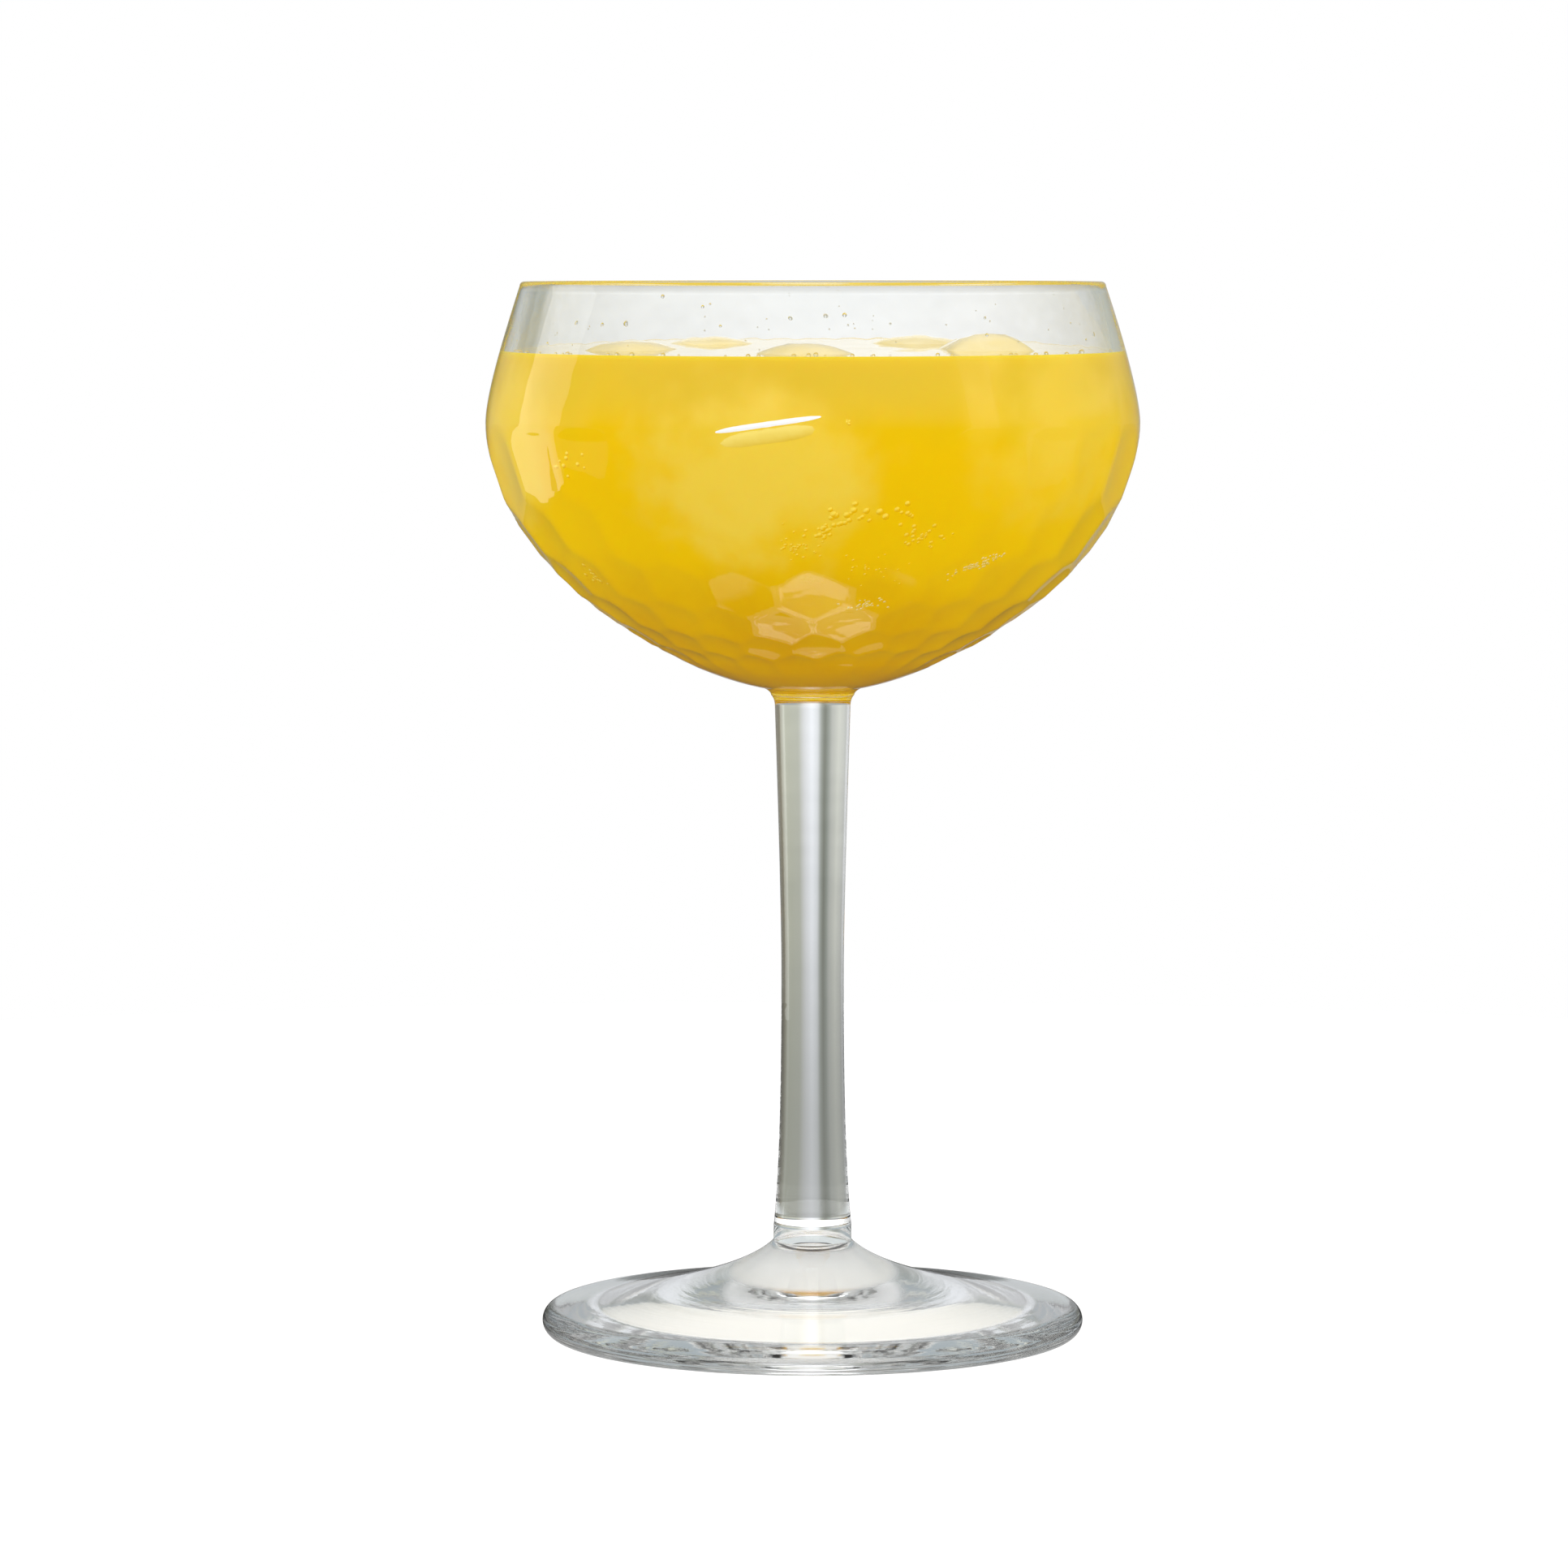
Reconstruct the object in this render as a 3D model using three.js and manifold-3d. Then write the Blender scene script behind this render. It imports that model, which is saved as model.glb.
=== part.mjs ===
// Stemmed coupe glass with a hammered bowl, holding a cloudy yellow drink and five floating ice cubes.
// Millimetres, +Z up. The origin is the middle of the plane that the foot stands on.

import * as THREE from "three";
import { ConvexGeometry } from "three/addons/geometries/ConvexGeometry.js";
import { RoundedBoxGeometry } from "three/addons/geometries/RoundedBoxGeometry.js";
import { mergeVertices } from "three/addons/utils/BufferGeometryUtils.js";
import Module from "manifold-3d";

// Foot: a wide disc that rises in a low trumpet to a short neck under the stem
const FOOT_RADIUS = 41.7;
const FOOT_EDGE = 4.6; // thickness of its fully rounded edge
const FOOT_HEIGHT = 16.8; // standing plane to the seam with the stem
const FOOT_NECK = 2.2; // straight neck below that seam
const FOOT_REST_WIDTH = 6.4; // flat ring that it stands on
const FOOT_HOLLOW = 6; // rise of the dome under it
const HOLLOW_LEVEL_RADIUS = 6; // where the dome levels out
const HOLLOW_STEP_RADIUS = 24; // ring at which the dome turns into a plain cone
const HOLLOW_STEP_RISE = 2.4;
const TRUMPET_DROP = 3.6; // how steeply the trumpet leaves the neck
const TRUMPET_FLARE = 3.5;
const BRIM_WIDTH = 19.4; // how far the flat brim runs in before it turns up
const BRIM_RISE = 2.5;

// Stem: a solid rod, waisted, with a small flare under the bowl
const STEM_LENGTH = 82;
const STEM_FOOT_RADIUS = 6; // at the seam with the foot
const STEM_WAIST_RADIUS = 4.8;
const STEM_WAIST_HEIGHT = 39.2; // above the lower seam
const STEM_LOWER_TURN = 11.2; // where the lower taper meets the waist's line
const STEM_UPPER_TURN = 49.2;
const STEM_NECK_RADIUS = 5.8; // below the flare
const STEM_BOWL_RADIUS = 6.4; // at the seam with the bowl
const STEM_FLARE_HEIGHT = 1.8;
const STEM_FLARE_LIP = 0.6; // height of its steepest part

// Bowl: blown, thin at the lip and thick at the base, widest below the mouth
const BOWL_HEIGHT = 63.2; // seam to lip
const BELLY_RADIUS = 50;
const MOUTH_INSET = 5.2; // how far the lip lies inside the widest ring
const BELLY_DROP = 21.5; // lip to the widest ring
const BELLY_SHOULDER = 5.1; // straight pull of the side above the widest ring
const BELLY_SWELL = 23.5; // and below it
const WALL = 1.4; // at the lip
const BELLY_WALL = 2; // at the widest ring, where the scoops start
const BASE_THICKNESS = 3.2; // glass under the middle of the drink
const BASE_LEVEL_RADIUS = 20; // where the underside levels out
const BASE_RISE = 3.2;
const CAVITY_LEVEL_RADIUS = 16; // where the inside does
const BUTTON_RADIUS = 7.6; // root of the fillet between bowl and stem
const BUTTON_RISE = 1.1;

// Hammered finish: staggered rows of shallow scoops over the lower half of the bowl, as many in each row,
// so that they grow smaller down the side
const SCOOPS_ROUND = 24;
const SCOOP_DEPTH = 0.95; // at the belly
const SCOOP_REACH = 0.62; // radius of a scoop, in scoop widths
const SCOOP_SCATTER = 0.16; // how far a scoop lies out of line, in scoop widths
const SCOOP_END_RADIUS = 20; // the underside is plain inside this
const SCOOP_FIRST_ROW = 2 / 3; // middle of the first row below the belly, in rows
const SCATTER_BY_ROW = 12.9; // radians, so that neighbours lie out of line differently
const SCATTER_BY_SCOOP = 7.3;
const SCATTER_DOWN = 2; // radians between the scatter round the bowl and that down its side

// Drink
const DRINK_DROP = 11; // lip to the surface
const DRINK_GAP = 0.3; // clearance to the glass
const MENISCUS_RISE = 0.8;
const MENISCUS_WIDTH = 2.2;
const MENISCUS_FOOT = 0.55; // where its curve is sharpest, off the wall

// Ice: tray-made cubes, tapered and rounded by melting, floating in a ring
const ICE_EDGE = 22;
const ICE_HEIGHT = 20;
const ICE_CORNER = 4.5;
const ICE_TAPER = 0.08; // share by which the small end of a cube is narrower
const ICE_GAP = 0.3; // clearance to the drink round it
const ICE_MOUTH_GAP = 0.8; // clearance to the lip when it is lifted out
const ICE_BEARING = 268; // degrees, of the first cube
const ICE_CUBES = [
  { name: "ice_cube_front", proud: 1.5, turn: 28, lean: 4 },
  { name: "ice_cube_right", proud: 2.5, turn: 12, lean: -5 },
  { name: "ice_cube_back_right", proud: 1.2, turn: 50, lean: 3 },
  { name: "ice_cube_back_left", proud: 1.0, turn: 5, lean: -4 },
  { name: "ice_cube_left", proud: 1.3, turn: 33, lean: 5 },
];

// Fineness of the faceted surfaces: steps round the axis, and along the curves of an outline
const SCOOP_STEPS = 3; // facets across one scoop
const BOWL_SEGMENTS = SCOOP_STEPS * SCOOPS_ROUND;
const ROUND_SEGMENTS = 48;
const STEM_SEGMENTS = 28;
const LONG_STEPS = 8;
const SHORT_STEPS = 4;
const FILLET_STEPS = 2;
const ICE_CORNER_STEPS = 2;
const WELD = 0.001; // points closer than this are one
const HALVINGS = 40; // steps in the search for a point of a curve

// Heights up the axis, and the lip
const STEM_TOP = FOOT_HEIGHT + STEM_LENGTH;
const RIM_TOP = STEM_TOP + BOWL_HEIGHT;
const BELLY_HEIGHT = RIM_TOP - BELLY_DROP;
const DRINK_LEVEL = RIM_TOP - DRINK_DROP;
const RIM_RADIUS = BELLY_RADIUS - MOUTH_INSET;
const LIP_HEIGHT = RIM_TOP - WALL / 2; // where the round of the lip starts

const wasm = await Module();
wasm.setup();

const at = (radius, height) => new THREE.Vector2(radius, height);

// Points of a curve between two of its parameters, both ends included
function along(curve, steps, from = 0, to = 1) {
  const points = [];
  for (let i = 0; i <= steps; i += 1) {
    points.push(curve.getPoint(from + ((to - from) * i) / steps));
  }
  return points;
}

// Parameter at which a curve that only rises or only falls has a given height
function parameterAt(curve, height) {
  const rises = curve.getPoint(1).y > curve.getPoint(0).y;
  let low = 0;
  let high = 1;
  for (let i = 0; i < HALVINGS; i += 1) {
    const middle = (low + high) / 2;
    if (curve.getPoint(middle).y < height === rises) low = middle;
    else high = middle;
  }
  return (low + high) / 2;
}

// A solid of revolution about Z, from an outline that starts and ends on the axis
function turned(outline, segments) {
  return new THREE.LatheGeometry(outline, segments).rotateX(Math.PI / 2);
}

// Closed geometry to solid, and back
function solidOf(geometry) {
  const bare = geometry.clone();
  bare.deleteAttribute("normal");
  bare.deleteAttribute("uv");
  const merged = mergeVertices(bare, WELD);
  return new wasm.Manifold(
    new wasm.Mesh({
      numProp: 3,
      vertProperties: Float32Array.from(merged.attributes.position.array),
      triVerts: Uint32Array.from(merged.index.array),
    }),
  );
}

function geometryOf(solid) {
  const mesh = solid.getMesh();
  const geometry = new THREE.BufferGeometry();
  geometry.setAttribute("position", new THREE.BufferAttribute(mesh.vertProperties, 3));
  geometry.setIndex(new THREE.BufferAttribute(mesh.triVerts, 1));
  geometry.computeVertexNormals();
  return geometry;
}

// The side of the bowl in two curves, lip to belly and belly to base. The outside, the cavity and the
// drink all use them, each set in by its own distances.
function upperSide(lipInset, bellyInset) {
  const radius = BELLY_RADIUS - bellyInset;
  return new THREE.QuadraticBezierCurve(
    at(RIM_RADIUS - lipInset, LIP_HEIGHT),
    at(radius, BELLY_HEIGHT + BELLY_SHOULDER),
    at(radius, BELLY_HEIGHT),
  );
}

function outerLowerSide() {
  return new THREE.CubicBezierCurve(
    at(BELLY_RADIUS, BELLY_HEIGHT),
    at(BELLY_RADIUS, BELLY_HEIGHT - BELLY_SWELL),
    at(BASE_LEVEL_RADIUS, STEM_TOP + BASE_RISE),
    at(BUTTON_RADIUS, STEM_TOP + BUTTON_RISE),
  );
}

function cavityLowerSide(gap) {
  const radius = BELLY_RADIUS - BELLY_WALL - gap;
  const bottom = STEM_TOP + BASE_THICKNESS + gap;
  return new THREE.CubicBezierCurve(
    at(radius, BELLY_HEIGHT),
    at(radius, BELLY_HEIGHT - BELLY_SWELL + BELLY_WALL + gap),
    at(CAVITY_LEVEL_RADIUS, bottom),
    at(0, bottom),
  );
}

// Rings of facets down the hammered side, as arcs from the belly. They keep the proportions of the scoops:
// rows lie closer than the scoops of a row, as in a honeycomb.
const ROW_SPACING = Math.sin(Math.PI / 3);

function hammeredArcs(curve) {
  const length = curve.getLength();
  const arcs = [0];
  let radius = BELLY_RADIUS;
  while (radius > SCOOP_END_RADIUS) {
    const facet = (2 * Math.PI * radius) / BOWL_SEGMENTS;
    const arc = arcs.at(-1) + facet * ROW_SPACING;
    arcs.push(arc);
    radius = curve.getPointAt(arc / length).x;
  }
  return arcs;
}

// How far a scoop lies out of line, the same each time
function scatter(row, scoop, phase) {
  return SCOOP_SCATTER * Math.sin(SCATTER_BY_ROW * row + SCATTER_BY_SCOOP * scoop + phase);
}

// Depth of the hammered side as a share of one scoop's depth: that of the scoop that reaches furthest in.
// Places are in scoop widths, round the bowl and down its side.
function scoopShare(round, down, rows) {
  let share = 0;
  const level = down / ROW_SPACING - SCOOP_FIRST_ROW;
  for (let row = Math.max(0, Math.floor(level)); row < Math.min(rows, level + 2); row += 1) {
    const shift = (row % 2) / 2;
    const nearest = Math.round(round - shift);
    for (let i = nearest - 1; i <= nearest + 1; i += 1) {
      const scoop = (i + SCOOPS_ROUND) % SCOOPS_ROUND;
      const across = round - i - shift - scatter(row, scoop, 0);
      const below = down - (row + SCOOP_FIRST_ROW) * ROW_SPACING - scatter(row, scoop, SCATTER_DOWN);
      const distance = Math.hypot(across, below) / SCOOP_REACH;
      share = Math.max(share, 1 - distance * distance);
    }
  }
  return share;
}

function foot() {
  const edge = FOOT_EDGE / 2;
  const brim = FOOT_RADIUS - edge;
  const neckBottom = FOOT_HEIGHT - FOOT_NECK;
  const dome = new THREE.QuadraticBezierCurve(
    at(0, FOOT_HOLLOW),
    at(HOLLOW_LEVEL_RADIUS, FOOT_HOLLOW),
    at(HOLLOW_STEP_RADIUS, HOLLOW_STEP_RISE),
  );
  const rounded = new THREE.EllipseCurve(brim, edge, edge, edge, -Math.PI / 2, Math.PI / 2);
  const trumpet = new THREE.CubicBezierCurve(
    at(brim, FOOT_EDGE),
    at(brim - BRIM_WIDTH, FOOT_EDGE + BRIM_RISE),
    at(STEM_FOOT_RADIUS + TRUMPET_FLARE, neckBottom - TRUMPET_DROP),
    at(STEM_FOOT_RADIUS, neckBottom),
  );
  const outline = [
    ...along(dome, SHORT_STEPS),
    at(brim - FOOT_REST_WIDTH, 0),
    ...along(rounded, LONG_STEPS),
    ...along(trumpet, LONG_STEPS).slice(1),
    at(STEM_FOOT_RADIUS, FOOT_HEIGHT),
    at(0, FOOT_HEIGHT),
  ];
  return turned(outline, ROUND_SEGMENTS);
}

function stem() {
  const waist = at(STEM_WAIST_RADIUS, FOOT_HEIGHT + STEM_WAIST_HEIGHT);
  const neck = at(STEM_NECK_RADIUS, STEM_TOP - STEM_FLARE_HEIGHT);
  const lower = new THREE.QuadraticBezierCurve(
    at(STEM_FOOT_RADIUS, FOOT_HEIGHT),
    at(STEM_WAIST_RADIUS, FOOT_HEIGHT + STEM_LOWER_TURN),
    waist,
  );
  const upper = new THREE.QuadraticBezierCurve(
    waist,
    at(STEM_WAIST_RADIUS, FOOT_HEIGHT + STEM_UPPER_TURN),
    neck,
  );
  const flare = new THREE.QuadraticBezierCurve(
    neck,
    at(STEM_NECK_RADIUS, STEM_TOP - STEM_FLARE_LIP),
    at(STEM_BOWL_RADIUS, STEM_TOP),
  );
  const outline = [
    at(0, FOOT_HEIGHT),
    ...along(lower, LONG_STEPS),
    ...along(upper, SHORT_STEPS).slice(1),
    ...along(flare, SHORT_STEPS).slice(1),
    at(0, STEM_TOP),
  ];
  return turned(outline, STEM_SEGMENTS);
}

function bowl() {
  const lower = outerLowerSide();
  const fillet = new THREE.QuadraticBezierCurve(
    at(STEM_BOWL_RADIUS, STEM_TOP),
    at(STEM_BOWL_RADIUS, STEM_TOP + BUTTON_RISE / 2),
    at(BUTTON_RADIUS, STEM_TOP + BUTTON_RISE),
  );
  const rounded = new THREE.EllipseCurve(RIM_RADIUS - WALL / 2, LIP_HEIGHT, WALL / 2, WALL / 2, 0, Math.PI);
  const length = lower.getLength();
  const arcs = hammeredArcs(lower);
  const hammered = arcs.map((arc) => lower.getPointAt(arc / length)).reverse();
  const plainFrom = lower.getUtoTmapping(arcs.at(-1) / length);
  const underside = [
    at(0, STEM_TOP),
    ...along(fillet, FILLET_STEPS),
    ...along(lower, SHORT_STEPS, 1, plainFrom).slice(1, -1),
  ];
  const outline = [
    ...underside,
    ...hammered,
    ...along(upperSide(0, 0), SHORT_STEPS).reverse().slice(1),
    ...along(rounded, SHORT_STEPS).slice(1),
    ...along(upperSide(WALL, BELLY_WALL), SHORT_STEPS).slice(1),
    ...along(cavityLowerSide(0), LONG_STEPS).slice(1),
  ];
  const geometry = turned(outline, BOWL_SEGMENTS);
  const tangents = arcs.map((arc) => lower.getTangentAt(arc / length)).reverse();
  hammer(geometry, outline.length, underside.length, tangents);
  return geometry;
}

// Presses the scoops into the rings of the turned bowl that start at a given point of its outline, square
// to the side. The last of these rings is the belly, which stays round.
function hammer(geometry, perColumn, first, tangents) {
  const position = geometry.attributes.position;
  const rows = Math.floor((tangents.length - 1) / SCOOP_STEPS);
  for (let i = 0; i < position.count; i += 1) {
    const tangent = tangents[(i % perColumn) - first];
    const ring = tangents.length - 1 - ((i % perColumn) - first);
    if (!tangent || ring === 0) continue;
    const round = (Math.floor(i / perColumn) / SCOOP_STEPS) % SCOOPS_ROUND;
    const share = scoopShare(round, (ring * ROW_SPACING) / SCOOP_STEPS, rows);
    const radius = Math.hypot(position.getX(i), position.getY(i));
    const depth = (share * SCOOP_DEPTH * radius) / BELLY_RADIUS;
    const inward = 1 + (tangent.y * depth) / radius;
    position.setX(i, position.getX(i) * inward);
    position.setY(i, position.getY(i) * inward);
    position.setZ(i, position.getZ(i) - tangent.x * depth);
  }
}

// A cube of ice in its place, grown by an allowance all round
function iceCube(cube, number, allowance) {
  const edge = ICE_EDGE + 2 * allowance;
  const height = ICE_HEIGHT + 2 * allowance;
  const corner = ICE_CORNER + allowance;
  const geometry = new RoundedBoxGeometry(edge, edge, height, ICE_CORNER_STEPS, corner);
  const position = geometry.attributes.position;
  for (let i = 0; i < position.count; i += 1) {
    const narrow = 1 - ICE_TAPER * (position.getZ(i) / ICE_HEIGHT + 0.5);
    position.setX(i, position.getX(i) * narrow);
    position.setY(i, position.getY(i) * narrow);
  }
  const lean = THREE.MathUtils.degToRad(cube.lean);
  const bearing = THREE.MathUtils.degToRad(ICE_BEARING + (360 / ICE_CUBES.length) * number);
  const reach = Math.SQRT1_2 * ICE_EDGE - (Math.SQRT2 - 1) * ICE_CORNER;
  const leanReach = (ICE_HEIGHT / 2) * Math.abs(Math.sin(lean));
  const ring = RIM_RADIUS - WALL - ICE_MOUTH_GAP - reach - leanReach;
  geometry.rotateX(lean).rotateZ(THREE.MathUtils.degToRad(cube.turn));
  geometry.translate(
    ring * Math.cos(bearing),
    ring * Math.sin(bearing),
    DRINK_LEVEL + cube.proud - ICE_HEIGHT / 2,
  );
  return geometry;
}

// The room that a cube leaves in the drink: the cube with its clearance, open straight up
function icePocket(cube, number) {
  const position = iceCube(cube, number, ICE_GAP).attributes.position;
  const points = [];
  for (let i = 0; i < position.count; i += 1) {
    const point = new THREE.Vector3().fromBufferAttribute(position, i);
    points.push(point, point.clone().setZ(point.z + ICE_HEIGHT));
  }
  return new ConvexGeometry(points);
}

function drink() {
  const upper = upperSide(WALL + DRINK_GAP, BELLY_WALL + DRINK_GAP);
  const lower = cavityLowerSide(DRINK_GAP);
  const edge = parameterAt(upper, DRINK_LEVEL + MENISCUS_RISE);
  const wallPoint = upper.getPoint(edge);
  const meniscus = new THREE.QuadraticBezierCurve(
    wallPoint,
    at(wallPoint.x - MENISCUS_FOOT, DRINK_LEVEL),
    at(wallPoint.x - MENISCUS_WIDTH, DRINK_LEVEL),
  );
  const outline = [
    ...along(lower, LONG_STEPS).reverse(),
    ...along(upper, SHORT_STEPS, edge, 1).reverse().slice(1),
    ...along(meniscus, SHORT_STEPS).slice(1),
    at(0, DRINK_LEVEL),
  ];
  let liquid = solidOf(turned(outline, ROUND_SEGMENTS));
  ICE_CUBES.forEach((cube, number) => {
    liquid = liquid.subtract(solidOf(icePocket(cube, number)));
  });
  return geometryOf(liquid);
}

function finish(color, roughness, opacity) {
  return new THREE.MeshStandardMaterial({
    color,
    roughness,
    metalness: 0,
    opacity,
    transparent: opacity < 1,
  });
}

const CLEAR_GLASS = { color: "#e9eeec", roughness: 0.04, opacity: 0.35 };
const CLOUDY_DRINK = { color: "#eec21a", roughness: 0.1, opacity: 0.95 };
const WET_ICE = { color: "#f3edc4", roughness: 0.12, opacity: 0.6 };

const glass = new THREE.Group();

function place(name, geometry, { color, roughness, opacity }) {
  const mesh = new THREE.Mesh(geometry, finish(color, roughness, opacity));
  mesh.name = name;
  glass.add(mesh);
}

place("foot", foot(), CLEAR_GLASS);
place("stem", stem(), CLEAR_GLASS);
place("bowl", bowl(), CLEAR_GLASS);
place("drink", drink(), CLOUDY_DRINK);
ICE_CUBES.forEach((cube, number) => place(cube.name, iceCube(cube, number, 0), WET_ICE));

export default glass;
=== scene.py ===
"""Looks of a stemmed coupe glass with a hammered bowl that holds a cloudy yellow drink and ice.

Sizes are in metres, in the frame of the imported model: +Z up, the foot on the plane z = 0 and -Y
towards the viewer.
"""

import logging
import math
import random
from dataclasses import dataclass
from enum import Enum
from typing import Any, List, Mapping, Optional, Sequence, Tuple, Union

import bpy
import numpy as np
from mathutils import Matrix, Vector, noise


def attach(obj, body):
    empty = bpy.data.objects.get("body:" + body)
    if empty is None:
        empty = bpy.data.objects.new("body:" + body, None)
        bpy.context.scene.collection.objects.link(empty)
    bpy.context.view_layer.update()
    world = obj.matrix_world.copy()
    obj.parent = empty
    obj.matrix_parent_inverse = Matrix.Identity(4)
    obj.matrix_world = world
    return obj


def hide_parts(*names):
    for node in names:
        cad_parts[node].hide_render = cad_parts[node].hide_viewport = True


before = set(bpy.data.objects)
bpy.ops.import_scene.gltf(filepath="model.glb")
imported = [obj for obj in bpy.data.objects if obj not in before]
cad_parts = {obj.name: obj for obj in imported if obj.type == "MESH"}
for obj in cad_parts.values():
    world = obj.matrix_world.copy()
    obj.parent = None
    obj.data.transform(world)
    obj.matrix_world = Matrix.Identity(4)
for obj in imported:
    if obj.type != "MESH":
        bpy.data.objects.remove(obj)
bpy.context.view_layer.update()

Point = Tuple[float, float]
Triple = Tuple[float, float, float]
Colour = Tuple[float, float, float, float]
Key = Union[str, int]

LOG = logging.getLogger("coupe")
WELD = 1e-6
START_SIZE = 0.01
HALVINGS = 40
BODY = "glass"


def colour(red: int, green: int, blue: int) -> Colour:
    """Turns a display colour, with parts from 0 to 255, into the linear one that shaders take."""
    return tuple((part / 255) ** 2.2 for part in (red, green, blue)) + (1.0,)


def opaque(tone: Triple) -> Colour:
    """A linear colour with nothing behind it showing."""
    return tone + (1.0,)


def grey(level: float) -> Colour:
    """A neutral linear colour."""
    return opaque((level, level, level))


def bezier(
    points: Sequence[Point], steps: int, start: float = 0.0, end: float = 1.0
) -> List[Point]:
    """Points along a curve between two of its parameters.

    Args:
        points: Control points, as radius and height.
        steps: Number of steps between the first and the last point.
        start: Parameter of the first point.
        end: Parameter of the last point.

    Returns:
        steps + 1 points, both ends included.
    """
    found = []
    for step in range(steps + 1):
        share = start + (end - start) * step / steps
        row = list(points)
        while len(row) > 1:
            pairs = zip(row, row[1:])
            row = [(a[0] + (b[0] - a[0]) * share, a[1] + (b[1] - a[1]) * share) for a, b in pairs]
        found.append(row[0])
    return found


def arc(centre: Point, radius: float, start: float, end: float, steps: int) -> List[Point]:
    """Points of a circular arc between two angles in degrees, both ends included."""
    angles = [math.radians(start + (end - start) * step / steps) for step in range(steps + 1)]
    return [(centre[0] + radius * math.cos(a), centre[1] + radius * math.sin(a)) for a in angles]


def parameter_at(points: Sequence[Point], height: float) -> float:
    """Finds where a curve that only falls reaches a height.

    Args:
        points: Control points, as radius and height.
        height: The height to find.

    Returns:
        The parameter of the curve there.
    """
    low, high = 0.0, 1.0
    for _ in range(HALVINGS):
        middle = (low + high) / 2
        if bezier(points, 1, middle, middle)[0][1] > height:
            low = middle
        else:
            high = middle
    return (low + high) / 2


def pick(piece: bpy.types.Object) -> None:
    """Makes one object the only selected one, and the active one.

    Args:
        piece: The object.
    """
    bpy.ops.object.select_all(action="DESELECT")
    piece.select_set(True)
    bpy.context.view_layer.objects.active = piece


def turned(name: str, outline: Sequence[Point], steps: int) -> bpy.types.Object:
    """Spins an outline about the Z axis into a closed piece.

    Args:
        name: Name of the piece.
        outline: Radius and height of its points, from the axis to the axis.
        steps: Number of steps round the axis.

    Returns:
        The piece, smooth shaded.
    """
    bpy.ops.object.select_all(action="DESELECT")
    bpy.ops.mesh.primitive_plane_add(size=START_SIZE)
    piece = bpy.context.object
    piece.name = piece.data.name = name
    bpy.ops.object.mode_set(mode="EDIT")
    bpy.ops.mesh.select_all(action="SELECT")
    bpy.ops.mesh.merge(type="COLLAPSE")
    bpy.ops.transform.translate(value=(outline[0][0], 0.0, outline[0][1]))
    for here, there in zip(outline, outline[1:]):
        step = (there[0] - here[0], 0.0, there[1] - here[1])
        bpy.ops.mesh.extrude_region_move(TRANSFORM_OT_translate={"value": step})
    bpy.ops.mesh.select_all(action="SELECT")
    bpy.ops.mesh.spin(steps=steps, angle=math.tau, center=(0, 0, 0), axis=(0, 0, 1))
    bpy.ops.mesh.select_all(action="SELECT")
    bpy.ops.mesh.remove_doubles(threshold=WELD)
    bpy.ops.mesh.normals_make_consistent(inside=False)
    bpy.ops.object.mode_set(mode="OBJECT")
    bpy.ops.object.shade_smooth()
    return piece


def places_of(piece: bpy.types.Object) -> np.ndarray:
    """Reads the places of a piece's points.

    Args:
        piece: The piece.

    Returns:
        One row for each point.
    """
    flat = np.empty(len(piece.data.vertices) * 3)
    piece.data.vertices.foreach_get("co", flat)
    return flat.reshape(-1, 3)


def move_points(piece: bpy.types.Object, places: np.ndarray) -> None:
    """Gives a piece's points new places."""
    piece.data.vertices.foreach_set("co", places.ravel())
    piece.data.update()


def paint(piece: bpy.types.Object, *materials: bpy.types.Material) -> None:
    """Gives a piece its materials, the first of them on every face.

    Args:
        piece: The piece.
        materials: Its materials, in the order of their slots.
    """
    piece.data.materials.clear()
    for material in materials:
        piece.data.materials.append(material)


def paint_level_faces(piece: bpy.types.Object, heights: Sequence[float], slot: int) -> None:
    """Gives the faces that lie level at one of some heights another material.

    Args:
        piece: The piece.
        heights: The heights.
        slot: Number of the material's slot.
    """
    points = piece.data.vertices
    for face in piece.data.polygons:
        middle = face.center.z
        if any(abs(points[corner].co.z - middle) > WELD for corner in face.vertices):
            continue
        if any(abs(middle - height) < WELD for height in heights):
            face.material_index = slot


@dataclass(frozen=True)
class Spot:
    """Where a copy of a small shape goes, and how large it is along its own axes."""

    place: Triple
    size: Triple
    turn: Triple = (0.0, 0.0, 0.0)


def copied(name: str, master: bpy.types.Object, spots: Sequence[Spot]) -> bpy.types.Object:
    """Copies a shape of unit size to each spot and joins the copies into one piece.

    Args:
        name: Name of the piece.
        master: The shape, which is used up.
        spots: Where the copies go.

    Returns:
        The piece, with its place in its mesh.
    """
    copies = []
    for spot in spots:
        twin = master.copy()
        twin.data = master.data.copy()
        twin.location, twin.scale, twin.rotation_euler = spot.place, spot.size, spot.turn
        bpy.context.collection.objects.link(twin)
        copies.append(twin)
    bpy.data.objects.remove(master)
    bpy.ops.object.select_all(action="DESELECT")
    for twin in copies:
        twin.select_set(True)
    bpy.context.view_layer.objects.active = copies[0]
    bpy.ops.object.transform_apply(location=True, rotation=True, scale=True)
    bpy.ops.object.join()
    piece = bpy.context.object
    piece.name = piece.data.name = name
    return piece


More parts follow.
